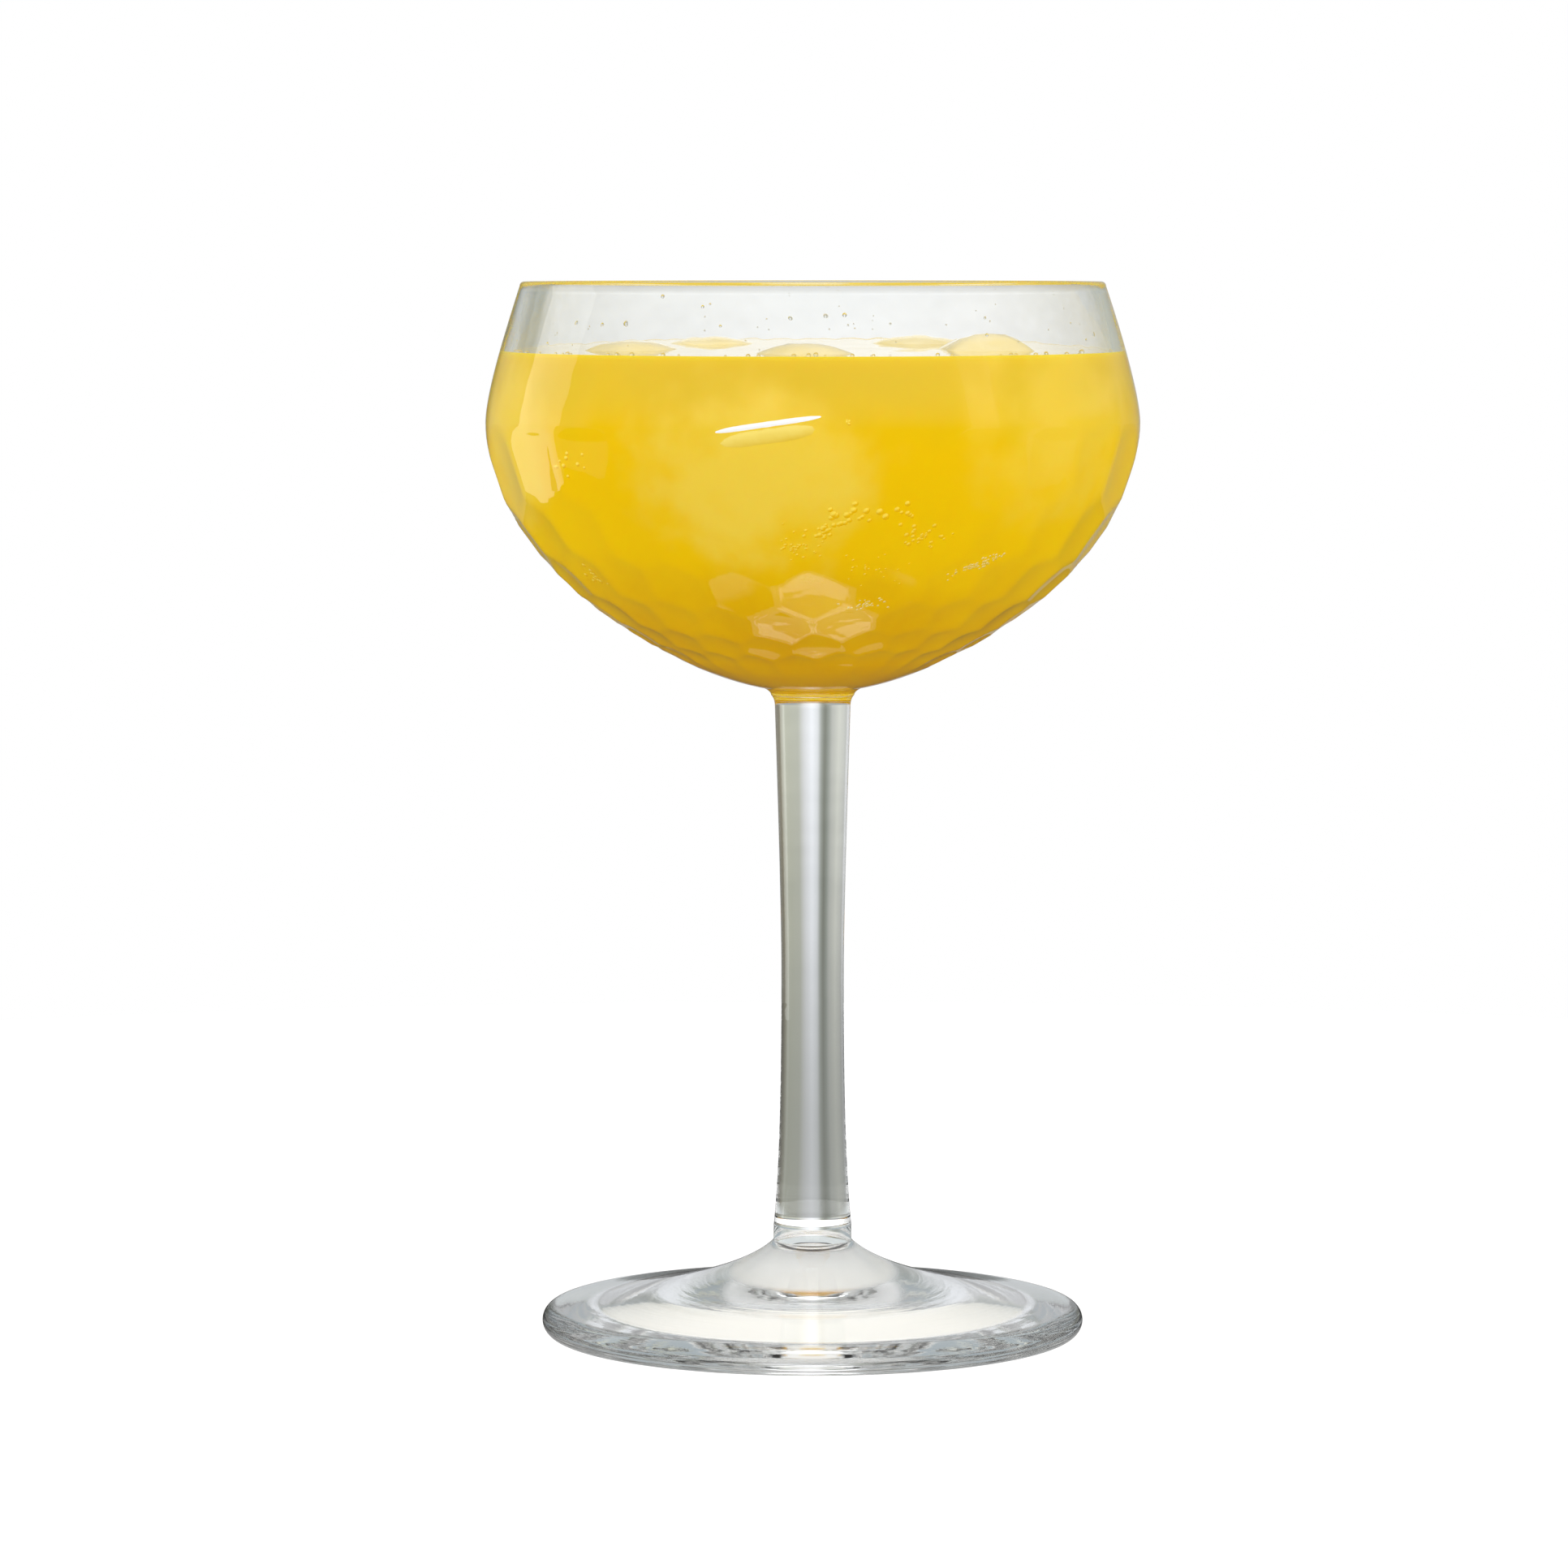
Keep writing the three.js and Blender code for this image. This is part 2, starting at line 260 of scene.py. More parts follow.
class Wire:
    """A socket of a shader's nodes, which takes part in Python sums."""

    def __init__(self, shader: "Shader", socket: Optional[bpy.types.NodeSocket]) -> None:
        """Keeps the socket and the shader that it belongs to."""
        self.shader = shader
        self.socket = socket

    def math(self, operation: str, *values: Any) -> "Wire":
        """Adds a Math node on this value and others."""
        return self.shader.sum(operation, self, *values)

    def other(self, output: Key) -> "Wire":
        """Another output of the same node."""
        return Wire(self.shader, self.socket.node.outputs[output])

    def between(self, low: float, high: float) -> "Wire":
        """Makes a soft step.

        Args:
            low: The value up to which it is 0.
            high: The value from which it is 1.

        Returns:
            The step.
        """
        return self.shader.node(
            "ShaderNodeMapRange",
            {"interpolation_type": "SMOOTHSTEP"},
            {"Value": self, "From Min": low, "From Max": high, "To Min": 0.0, "To Max": 1.0},
        )

    def ramp(self, low: float, high: float, first: float, last: float) -> "Wire":
        """Makes an even run between two values.

        Args:
            low: The value of this wire at which it starts.
            high: The value of this wire at which it ends.
            first: What it starts with.
            last: What it ends with.

        Returns:
            The run.
        """
        source = {"Value": self, "From Min": low, "From Max": high}
        target = {"To Min": first, "To Max": last}
        return self.shader.node("ShaderNodeMapRange", inputs={**source, **target})

    def __add__(self, value: Any) -> "Wire":
        """This value plus another."""
        return self.math("ADD", value)

    def __radd__(self, value: Any) -> "Wire":
        """Another value plus this one."""
        return self.math("ADD", value)

    def __sub__(self, value: Any) -> "Wire":
        """This value less another."""
        return self.math("SUBTRACT", value)

    def __rsub__(self, value: Any) -> "Wire":
        """Another value less this one."""
        return self.shader.sum("SUBTRACT", value, self)

    def __mul__(self, value: Any) -> "Wire":
        """This value times another."""
        return self.math("MULTIPLY", value)

    def __rmul__(self, value: Any) -> "Wire":
        """Another value times this one."""
        return self.math("MULTIPLY", value)

    def __truediv__(self, value: Any) -> "Wire":
        """This value over another."""
        return self.math("DIVIDE", value)

    def __rtruediv__(self, value: Any) -> "Wire":
        """Another value over this one."""
        return self.shader.sum("DIVIDE", value, self)


class Shader:
    """The node tree of a material or a world, built a node at a time."""

    def __init__(self, tree: bpy.types.NodeTree) -> None:
        """Starts from an empty tree."""
        tree.nodes.clear()
        self.tree = tree

    def node(
        self,
        kind: str,
        settings: Optional[Mapping[str, Any]] = None,
        inputs: Optional[Mapping[Key, Any]] = None,
        output: Key = 0,
    ) -> Wire:
        """Adds one node.

        Args:
            kind: Type of the node.
            settings: Its properties, and the stops of a ramp.
            inputs: Values or wires for its sockets.
            output: The output that the wire comes from.

        Returns:
            The wire from that output.
        """
        made = self.tree.nodes.new(kind)
        for name, value in (settings or {}).items():
            if name == "stops":
                self._set_stops(made.color_ramp, value)
            else:
                setattr(made, name, value)
        for name, value in (inputs or {}).items():
            if isinstance(value, Wire):
                self.tree.links.new(value.socket, made.inputs[name])
            else:
                made.inputs[name].default_value = value
        return Wire(self, made.outputs[output] if made.outputs else None)

    @staticmethod
    def _set_stops(ramp: bpy.types.ColorRamp, stops: Sequence[Tuple[float, Colour]]) -> None:
        """Gives a ramp its stops.

        Args:
            ramp: The ramp.
            stops: Position and colour of each stop, in order.
        """
        for number, (position, tone) in enumerate(stops):
            element = ramp.elements[number] if number < 2 else ramp.elements.new(position)
            element.position, element.color = position, tone

    def sum(self, operation: str, *values: Any) -> Wire:
        """Adds a Math node on values or wires."""
        return self.node("ShaderNodeMath", {"operation": operation}, dict(enumerate(values)))

    def blend(self, share: Any, first: Any, second: Any) -> Wire:
        """A colour between two, by a share of the second."""
        inputs = {0: share, 6: first, 7: second}
        return self.node("ShaderNodeMix", {"data_type": "RGBA"}, inputs, output=2)

    def mix(self, share: Wire, first: Wire, second: Wire) -> Wire:
        """A surface between two, by a share of the second."""
        return self.node("ShaderNodeMixShader", inputs={0: share, 1: first, 2: second})

    def matte(self, tone: Any) -> Wire:
        """A matte surface of a colour."""
        return self.node("ShaderNodeBsdfDiffuse", inputs={"Color": tone})

    def vectors(self, operation: str, *values: Any, output: Key = 0) -> Wire:
        """Adds a Vector Math node on values or wires."""
        settings = {"operation": operation}
        return self.node("ShaderNodeVectorMath", settings, dict(enumerate(values)), output)

    def dim(self, tone: Wire, share: Any) -> Wire:
        """A colour times a share."""
        return self.node("ShaderNodeVectorMath", {"operation": "SCALE"}, {0: tone, "Scale": share})

    def place(self) -> Wire:
        """The place on the piece, in metres."""
        return self.node("ShaderNodeTexCoord", output="Object")

    def parts(self, vector: Wire) -> Tuple[Wire, Wire, Wire]:
        """The three parts of a vector."""
        first = self.node("ShaderNodeSeparateXYZ", inputs={0: vector})
        return first, first.other(1), first.other(2)

    def noise(self, vector: Wire, size: float, detail: float = 2.0) -> Wire:
        """Cloudy values from 0 to 1 in lumps of a size in metres."""
        inputs = {"Vector": vector, "Scale": 1 / size, "Detail": detail}
        return self.node("ShaderNodeTexNoise", inputs=inputs)

    def bump(self, height: Wire, depth: float) -> Wire:
        """A normal that follows a height from 0 to 1 over a depth in metres."""
        return self.node("ShaderNodeBump", inputs={"Distance": depth, "Height": height})

    def finish(self, surface: Wire, kind: str = "ShaderNodeOutputMaterial") -> None:
        """Adds the output node."""
        self.node(kind, inputs={"Surface": surface})


def new_material(name: str) -> Tuple[bpy.types.Material, Shader]:
    """Starts a material.

    Args:
        name: Name of the material.

    Returns:
        The material and its empty shader.
    """
    material = bpy.data.materials.new(name)
    material.use_nodes = True
    return material, Shader(material.node_tree)


def lit_through(shader: Shader, surface: Wire) -> Wire:
    """Lets the light of lamps and of the room through a clear surface, to what is behind it.

    Args:
        shader: The shader of the material.
        surface: The clear surface.

    Returns:
        The surface, clear to rays that only carry light.
    """
    shadow = shader.node("ShaderNodeLightPath", output="Is Shadow Ray")
    diffuse = shadow.other("Is Diffuse Ray")
    clear = shader.node("ShaderNodeBsdfTransparent")
    return shader.mix(shadow, shader.mix(diffuse, surface, clear), clear)


@dataclass(frozen=True)
class ClearGlass:
    """Polished soda glass with the faint waves and smears of a hand-made piece."""

    name: str = "clear_glass"
    tint: Colour = (0.985, 0.992, 0.985, 1.0)
    smear_tint: Colour = (0.965, 0.975, 0.97, 1.0)
    smear_size: float = 0.012
    smear_range: Point = (0.45, 0.75)
    wave_size: float = 0.009
    wave_depth: float = 0.00006
    ring_size: float = 0.0011
    ring_depth: float = 0.00002
    ring_stretch: float = 0.3
    rough_most: float = 0.03
    mark_radii: Point = (0.00975, 0.013)
    mark_top: float = 0.007
    mark_rough: float = 0.6
    refraction: float = 1.5

    def material(self, rings: bool = False) -> bpy.types.Material:
        """Makes the material.

        Args:
            rings: Whether tool marks run round the axis, and a ground mark sits in the hollow.

        Returns:
            The material.
        """
        material, shader = new_material(self.name + ("_ringed" if rings else ""))
        place = shader.place()
        smear = shader.noise(place, self.smear_size, detail=4.0).between(*self.smear_range)
        height = shader.noise(place, self.wave_size)
        depth = self.wave_depth
        rough = smear * self.rough_most
        if rings:
            across, along, up = shader.parts(place)
            radius = (across * across + along * along).math("SQRT")
            rise = up * self.ring_stretch
            line = shader.node("ShaderNodeCombineXYZ", inputs={0: radius, 1: rise})
            height = shader.noise(line, self.ring_size, detail=3.0)
            depth = self.ring_depth
            ground = 1.0 - radius.between(*self.mark_radii)
            rough = rough + ground * up.math("LESS_THAN", self.mark_top) * self.mark_rough
        surface = shader.node(
            "ShaderNodeBsdfPrincipled",
            inputs={
                "Base Color": shader.blend(smear, self.tint, self.smear_tint),
                "Roughness": rough,
                "IOR": self.refraction,
                "Transmission Weight": 1.0,
                "Normal": shader.bump(height, depth),
            },
        )
        shader.finish(lit_through(shader, surface))
        return material


@dataclass(frozen=True)
class FusedSeam:
    """The inside of a fused joint between two pieces of glass, where nothing shows."""

    name: str = "fused_seam"

    def material(self) -> bpy.types.Material:
        """Makes the material.

        Returns:
            The material.
        """
        material, shader = new_material(self.name)
        shader.finish(shader.node("ShaderNodeBsdfTransparent"))
        return material


@dataclass(frozen=True)
class PaleZone:
    """A lump of pale cloud in the drink, where ice lies close behind the glass."""

    middle: Triple
    size: Triple
    strength: float


@dataclass(frozen=True)
class CloudyDrink:
    """A cloudy yellow drink, darker amber towards the bottom as painted shade, and pale round the
    ice.
    """

    name: str = "cloudy_drink"
    shaded_amber: Colour = colour(214, 159, 0)
    yellow: Colour = colour(240, 196, 0)
    pale_top: Colour = colour(218, 186, 24)
    icy: Colour = colour(243, 212, 80)
    bottom: float = 0.102
    amber_top: float = 0.126
    pale_bottom: float = 0.134
    level: float = 0.151
    drift: float = 0.012
    pale_share: float = 0.8
    cloud_size: float = 0.011
    wisp_size: float = 0.005
    cloud_warp: float = 1.1
    wisp_warp: float = 0.7
    zone_range: Point = (0.4, 1.2)
    rough_least: float = 0.4
    rough_more: float = 0.2
    refraction: float = 1.05
    glow: float = 0.5
    glow_depth: float = 0.006
    glow_through: Triple = (1.0, 0.6, 0.15)
    halo: Triple = (0.0135, 0.0135, 1.0)
    halo_strength: float = 0.6
    ripple_size: float = 0.008
    ripple_depth: float = 0.00002
    ripple_rough: float = 0.04
    surface_refraction: float = 1.34
    zones: Tuple[PaleZone, ...] = (
        PaleZone((-0.009, -0.044, 0.1345), (0.018, 0.017, 0.0135), 0.8),
        PaleZone((0.036, -0.030, 0.141), (0.017, 0.020, 0.0125), 0.42),
        PaleZone((-0.044, -0.018, 0.138), (0.008, 0.014, 0.015), 0.6),
        PaleZone((0.014, 0.040, 0.134), (0.018, 0.014, 0.015), 0.7),
        PaleZone((-0.028, 0.034, 0.132), (0.016, 0.014, 0.016), 0.7),
    )

    def shades(self, shader: Shader, zones: Sequence[PaleZone]) -> Wire:
        """Works out the colour of the drink at each place.

        Args:
            shader: The shader of the material.
            zones: Where the drink is pale.

        Returns:
            The colour.
        """
        place = shader.place()
        up = shader.parts(place)[2]
        cloud = shader.noise(place, self.cloud_size, detail=3.0)
        wisp = shader.noise(place, self.wisp_size, detail=3.0)
        height = up + (cloud - 0.5) * self.drift
        # Painted shade: the drink turns darker amber towards the bottom, where less light reaches.
        tone = shader.blend(height.between(self.bottom, self.amber_top), self.shaded_amber, self.yellow)
        pale = height.between(self.pale_bottom, self.level) * self.pale_share
        tone = shader.blend(pale, tone, self.pale_top)
        warp = (cloud - 0.5) * self.cloud_warp + (wisp - 0.5) * self.wisp_warp
        for zone in zones:
            offset = shader.vectors("SUBTRACT", place, zone.middle)
            scaled = shader.vectors("DIVIDE", offset, zone.size)
            far = shader.vectors("LENGTH", scaled, output="Value") + warp
            near = 1.0 - far.between(*self.zone_range)
            tone = shader.blend(near * zone.strength, tone, self.icy)
        return tone

    def material(self) -> bpy.types.Material:
        """Makes the material of the drink behind the glass.

        Returns:
            The material.
        """
        material, shader = new_material(self.name)
        cloud = shader.noise(shader.place(), self.cloud_size)
        surface = shader.node(
            "ShaderNodeBsdfPrincipled",
            inputs={
                "Base Color": self.shades(shader, self.zones),
                "Roughness": cloud * self.rough_more + self.rough_least,
                "IOR": self.refraction,
                "Subsurface Weight": self.glow,
                "Subsurface Radius": self.glow_through,
                "Subsurface Scale": self.glow_depth,
            },
        )
        shader.finish(surface)
        return material

    def surface_material(self, ice: Sequence[Triple]) -> bpy.types.Material:
        """Makes the material of its open surface, which is wet and still, and paler round the ice.

        Args:
            ice: The middles of the cubes.

        Returns:
            The material.
        """
        material, shader = new_material(self.name + "_surface")
        round_ice = [PaleZone(middle, self.halo, self.halo_strength) for middle in ice]
        ripple = shader.noise(shader.place(), self.ripple_size)
        surface = shader.node(
            "ShaderNodeBsdfPrincipled",
            inputs={
                "Base Color": self.shades(shader, round_ice),
                "Roughness": ripple * self.ripple_rough,
                "IOR": self.surface_refraction,
                "Normal": shader.bump(ripple, self.ripple_depth),
            },
        )
        shader.finish(surface)
        return material


@dataclass(frozen=True)
class WetIce:
    """Melting ice that takes on some of the colour of the drink."""

    name: str = "wet_ice"
    clear: Colour = colour(252, 250, 236)
    cloudy: Colour = colour(248, 241, 208)
    cloud_size: float = 0.006
    cloud_range: Point = (0.4, 0.7)
    rough_least: float = 0.02
    rough_more: float = 0.12
    dimple_size: float = 0.0045
    dimple_depth: float = 0.0002
    clearness: float = 0.6
    refraction: float = 1.31

    def material(self) -> bpy.types.Material:
        """Makes the material.

        Returns:
            The material.
        """
        material, shader = new_material(self.name)
        place = shader.place()
        cloud = shader.noise(place, self.cloud_size, detail=4.0).between(*self.cloud_range)
        surface = shader.node(
            "ShaderNodeBsdfPrincipled",
            inputs={
                "Base Color": shader.blend(cloud, self.clear, self.cloudy),
                "Roughness": cloud * self.rough_more + self.rough_least,
                "IOR": self.refraction,
                "Transmission Weight": self.clearness,
                "Normal": shader.bump(shader.noise(place, self.dimple_size), self.dimple_depth),
            },
        )
        shader.finish(lit_through(shader, surface))
        return material


class Inside(Enum):
    """What a small thing is made of: its refraction, and how clear it is."""

    AIR = (1.3, 0.0)
    WATER = (1.33, 1.0)
    FROTH = (1.12, 1.0)

    @property
    def refraction(self) -> float:
        """How much it bends light."""
        return self.value[0]

    @property
    def clearness(self) -> float:
        """The share of light that passes through it."""
        return self.value[1]


@dataclass(frozen=True)
class Inclusion:
    """Bubbles, drops and froth, with painted light and shade: lighter on the side that faces up and
    to the left.
    """

    name: str
    inside: Inside
    # tone is the painted lit side, shaded_tone the painted shaded side.
    tone: Colour
    shaded_tone: Colour
    light_from: Triple = (-0.5, -0.35, 0.8)
    lit_range: Point = (-0.1, 0.8)
    film_size: float = 0.0015
    film_share: float = 0.3
    film_rough: float = 0.05

    def material(self) -> bpy.types.Material:
        """Makes the material.

        Returns:
            The material.
        """
        material, shader = new_material(self.name)
        film = shader.noise(shader.place(), self.film_size)
        # Painted light and shade: the colour runs from the shaded tone to the lit tone as the
        # surface turns towards light_from.
        facing = shader.node("ShaderNodeTexCoord", output="Normal")
        towards = shader.vectors("DOT_PRODUCT", facing, self.light_from, output="Value")
        lit = (towards + film * self.film_share).between(*self.lit_range)
        surface = shader.node(
            "ShaderNodeBsdfPrincipled",
            inputs={
                "Base Color": shader.blend(lit, self.shaded_tone, self.tone),
                "Roughness": film * self.film_rough,
                "IOR": self.inside.refraction,
                "Transmission Weight": self.inside.clearness,
            },
        )
        shader.finish(lit_through(shader, surface))
        return material


@dataclass
class Foot:
    """A wide disc that rises in a low trumpet to a short neck under the stem."""

    radius: float = 0.0417
    edge: float = 0.0046
    height: float = 0.0168
    neck: float = 0.0022
    rest_width: float = 0.0064
    hollow: float = 0.006
    hollow_level_radius: float = 0.006
    step_radius: float = 0.024
    step_rise: float = 0.0024
    trumpet_drop: float = 0.0036
    trumpet_flare: float = 0.0035
    brim_width: float = 0.0194
    brim_rise: float = 0.0025
    stem_radius: float = 0.006
    steps: int = 168
    dome_steps: int = 24
    slope_steps: int = 6
    rest_steps: int = 4
    edge_steps: int = 24
    trumpet_steps: int = 48

    def outline(self) -> List[Point]:
        """Works out its outline, from the hollow under it to the seam with the stem.

        Returns:
            Radius and height of its points.
        """
        half = self.edge / 2
        brim = self.radius - half
        neck_bottom = self.height - self.neck
        inner = brim - self.rest_width
        step = (self.step_radius, self.step_rise)
        dome = [(0.0, self.hollow), (self.hollow_level_radius, self.hollow), step]
        trumpet = [
            (brim, self.edge),
            (brim - self.brim_width, self.edge + self.brim_rise),
            (self.stem_radius + self.trumpet_flare, neck_bottom - self.trumpet_drop),
            (self.stem_radius, neck_bottom),
        ]
        return [
            *bezier(dome, self.dome_steps),
            *bezier([step, (inner, 0.0)], self.slope_steps)[1:],
            *bezier([(inner, 0.0), (brim, 0.0)], self.rest_steps)[1:-1],
            *arc((brim, half), half, -90, 90, self.edge_steps),
            *bezier(trumpet, self.trumpet_steps)[1:],
            (self.stem_radius, self.height),
            (0.0, self.height),
        ]

    def build(self, glass: ClearGlass, seam: bpy.types.Material) -> bpy.types.Object:
        """Builds and dresses the foot.

        Args:
            glass: Finish of the glass.
            seam: Material of the fused joints.

        Returns:
            The foot.
        """
        piece = turned("glass_foot", self.outline(), self.steps)
        paint(piece, glass.material(rings=True), seam)
        paint_level_faces(piece, [self.height], 1)
        return piece


@dataclass
class Stem:
    """A solid waisted rod with a small flare under the bowl."""

    bottom: float = 0.0168
    length: float = 0.082
    foot_radius: float = 0.006
    waist_radius: float = 0.0048
    waist_height: float = 0.0392
    lower_turn: float = 0.0112
    upper_turn: float = 0.0492
    neck_radius: float = 0.0058
    bowl_radius: float = 0.0064
    flare_height: float = 0.0018
    flare_lip: float = 0.0006
    steps: int = 112
    half_steps: int = 30
    flare_steps: int = 10

    @property
    def top(self) -> float:
        """Height of the seam with the bowl."""
        return self.bottom + self.length

    def outline(self) -> List[Point]:
        """Works out its outline, from the seam with the foot to the seam with the bowl.

        Returns:
            Radius and height of its points.
        """
        waist = (self.waist_radius, self.bottom + self.waist_height)
        neck = (self.neck_radius, self.top - self.flare_height)
        lower_turn = (self.waist_radius, self.bottom + self.lower_turn)
        lower = [(self.foot_radius, self.bottom), lower_turn, waist]
        upper = [waist, (self.waist_radius, self.bottom + self.upper_turn), neck]
        flare = [neck, (self.neck_radius, self.top - self.flare_lip), (self.bowl_radius, self.top)]
        return [
            (0.0, self.bottom),
            *bezier(lower, self.half_steps),
            *bezier(upper, self.half_steps)[1:],
            *bezier(flare, self.flare_steps)[1:],
            (0.0, self.top),
        ]

    def build(self, glass: ClearGlass, seam: bpy.types.Material) -> bpy.types.Object:
        """Builds and dresses the stem.

        Args:
            glass: Finish of the glass.
            seam: Material of the fused joints.

        Returns:
            The stem.
        """
        piece = turned("glass_stem", self.outline(), self.steps)
        paint(piece, glass.material(), seam)
        paint_level_faces(piece, [self.bottom, self.top], 1)
        return piece


@dataclass
class Bowl:
    """A blown bowl, thin at the lip and thick at the base, hammered over its lower half."""

    bottom: float = 0.0988
    height: float = 0.0632
    belly_radius: float = 0.05
    mouth_inset: float = 0.0052
    belly_drop: float = 0.0215
    shoulder: float = 0.0051
    swell: float = 0.0235
    wall: float = 0.0014
    belly_wall: float = 0.002
    base_thickness: float = 0.0032
    base_level_radius: float = 0.02
    base_rise: float = 0.0032
    cavity_level_radius: float = 0.016
    button_radius: float = 0.0076
    button_rise: float = 0.0011
    stem_radius: float = 0.0064
    scoops_round: int = 24
    scoop_depth: float = 0.00095
    scoop_reach: float = 0.62
    scoop_scatter: float = 0.16
    scoop_end_radius: float = 0.02
    first_row: float = 2 / 3
    scatter_by_row: float = 12.9
    scatter_by_scoop: float = 7.3
    scatter_down: float = 2.0
    ridge_sharpness: float = 14.0
    steps_per_scoop: int = 11
    rings_per_scoop: int = 12
    fine_steps: int = 4000
    plain_stride: int = 160
    wave_size: float = 0.014
    wave_depth: float = 0.00018
    fillet_steps: int = 8
    side_steps: int = 26
    lip_steps: int = 12
    cavity_steps: int = 52

    @property
    def rim_top(self) -> float:
        """Height of the lip."""
        return self.bottom + self.height

    @property
    def rim_radius(self) -> float:
        """Radius of the lip."""
        return self.belly_radius - self.mouth_inset

    @property
    def belly_height(self) -> float:
        """Height of the widest ring."""
        return self.rim_top - self.belly_drop

    @property
    def lip(self) -> float:
        """Height at which the round of the lip starts."""
        return self.rim_top - self.wall / 2

    @property
    def row_spacing(self) -> float:
        """Distance between rows of scoops, in scoop widths, as in a honeycomb."""
        return math.sin(math.pi / 3)

    def upper_side(self, lip_inset: float, belly_inset: float) -> List[Point]:
        """Gives the control points of the side from the lip to the belly.

        Args:
            lip_inset: How far it is set in at the lip.
            belly_inset: How far it is set in at the belly.

        Returns:
            The control points.
        """
        radius = self.belly_radius - belly_inset
        belly = self.belly_height
        shoulder = (radius, belly + self.shoulder)
        return [(self.rim_radius - lip_inset, self.lip), shoulder, (radius, belly)]

    def upper_cavity(self, gap: float) -> List[Point]:
        """Control points of the inside from the lip to the belly, set in by a gap."""
        return self.upper_side(self.wall + gap, self.belly_wall + gap)

    def lower_side(self) -> List[Point]:
        """Control points of the outside from the belly to the base."""
        return [
            (self.belly_radius, self.belly_height),
            (self.belly_radius, self.belly_height - self.swell),
            (self.base_level_radius, self.bottom + self.base_rise),
            (self.button_radius, self.bottom + self.button_rise),
        ]

    def cavity(self, gap: float) -> List[Point]:
        """Gives the control points of the inside from the belly to the axis.

        Args:
            gap: How far they are set in.

        Returns:
            The control points.
        """
        wall = self.belly_wall + gap
        radius = self.belly_radius - wall
        floor = self.bottom + self.base_thickness + gap
        start = self.belly_height
        swell = (radius, start - self.swell + wall)
        return [(radius, start), swell, (self.cavity_level_radius, floor), (0.0, floor)]

    def inner_radius(self, height: float, gap: float = 0.0) -> float:
        """Finds the radius of the inside.

        Args:
            height: Where it is wanted.
            gap: How far it is set in.

        Returns:
            The radius.
        """
        curve = self.upper_cavity(gap) if height > self.belly_height else self.cavity(gap)
        share = parameter_at(curve, height)
        return bezier(curve, 1, share, share)[0][0]

    def hammered_rings(self) -> Tuple[List[Point], List[float], List[Point]]:
        """Rings down the hammered side from the belly.

        Returns:
            Their places, how far down they lie in scoop widths, and the rest of the underside.
        """
        fine = bezier(self.lower_side(), self.fine_steps)
        rings, downs = [fine[0]], [0.0]
        down = 0.0
        for number, (here, there) in enumerate(zip(fine, fine[1:])):
            down += math.dist(here, there) / (math.tau * here[0] / self.scoops_round)
            if down >= len(rings) / self.rings_per_scoop:
                rings.append(there)
                downs.append(down)
            if there[0] < self.scoop_end_radius:
                plain = fine[number + 1 :: self.plain_stride]
                return rings, downs, plain[1:] + [fine[-1]]
        return rings, downs, []

    def outline(self) -> List[Point]:
        """Works out its outline, from the seam over the lip to the floor of the cavity.

        Returns:
            Radius and height of its points.
        """
        rings, _, plain = self.hammered_rings()
        fillet = [
            (self.stem_radius, self.bottom),
            (self.stem_radius, self.bottom + self.button_rise / 2),
            (self.button_radius, self.bottom + self.button_rise),
        ]
        middle = (self.rim_radius - self.wall / 2, self.lip)
        return [
            (0.0, self.bottom),
            *bezier(fillet, self.fillet_steps)[:-1],
            *plain[::-1],
            *rings[::-1],
            *bezier(self.upper_side(0.0, 0.0), self.side_steps)[::-1][1:],
            *arc(middle, self.wall / 2, 0, 180, self.lip_steps)[1:],
            *bezier(self.upper_cavity(0.0), self.side_steps)[1:],
            *bezier(self.cavity(0.0), self.cavity_steps)[1:],
        ]

    def scatter(self, row: int, scoop: np.ndarray, phase: float) -> np.ndarray:
        """How far scoops lie out of line, in scoop widths."""
        angle = self.scatter_by_row * row + self.scatter_by_scoop * scoop + phase
        return self.scoop_scatter * np.sin(angle)

    def scoop_share(self, turn: np.ndarray, down: float, rows: int) -> np.ndarray:
        """Works out how deep the hammered side is, with soft ridges between the scoops.

        Args:
            turn: Places round the bowl, in scoop widths.
            down: Distance below the belly, in scoop widths.
            rows: Number of rows of scoops.

        Returns:
            The depth at each place, in shares of a scoop's depth.
        """
        total = np.ones_like(turn)
        for row in range(rows):
            shift = (row % 2) / 2
            row_middle = (row + self.first_row) * self.row_spacing
            nearest = np.round(turn - shift)
            for side in (-1, 0, 1):
                scoop = np.mod(nearest + side, self.scoops_round)
                across = turn - nearest - side - shift - self.scatter(row, scoop, 0.0)
                below = down - row_middle - self.scatter(row, scoop, self.scatter_down)
                share = 1 - (across * across + below * below) / self.scoop_reach**2
                total += np.exp(self.ridge_sharpness * np.clip(share, -1, 1))
        return np.log(total) / self.ridge_sharpness

    def hammer(self, piece: bpy.types.Object) -> None:
        """Presses the scoops into the lower side, square to it.

        Args:
            piece: The bowl.
        """
        places = places_of(piece)
        radii = np.hypot(places[:, 0], places[:, 1])
        rings, downs, _ = self.hammered_rings()
        rows = int(downs[-1] / self.row_spacing)
        for number in range(1, len(rings)):
            radius, height = rings[number]
            after = rings[min(number + 1, len(rings) - 1)]
            before = rings[number - 1]
            along = Vector((after[0] - before[0], after[1] - before[1])).normalized()
            on_ring = (np.abs(places[:, 2] - height) < WELD) & (np.abs(radii - radius) < WELD)
            bearing = np.arctan2(places[on_ring, 1], places[on_ring, 0]) / math.tau
            turn = np.mod(bearing, 1.0) * self.scoops_round
            share = self.scoop_share(turn, downs[number], rows)
            depth = share * self.scoop_depth * radius / self.belly_radius
            inward = 1 + along.y * depth / radius
            places[on_ring, 0] *= inward
            places[on_ring, 1] *= inward
            places[on_ring, 2] -= along.x * depth
        move_points(piece, places)

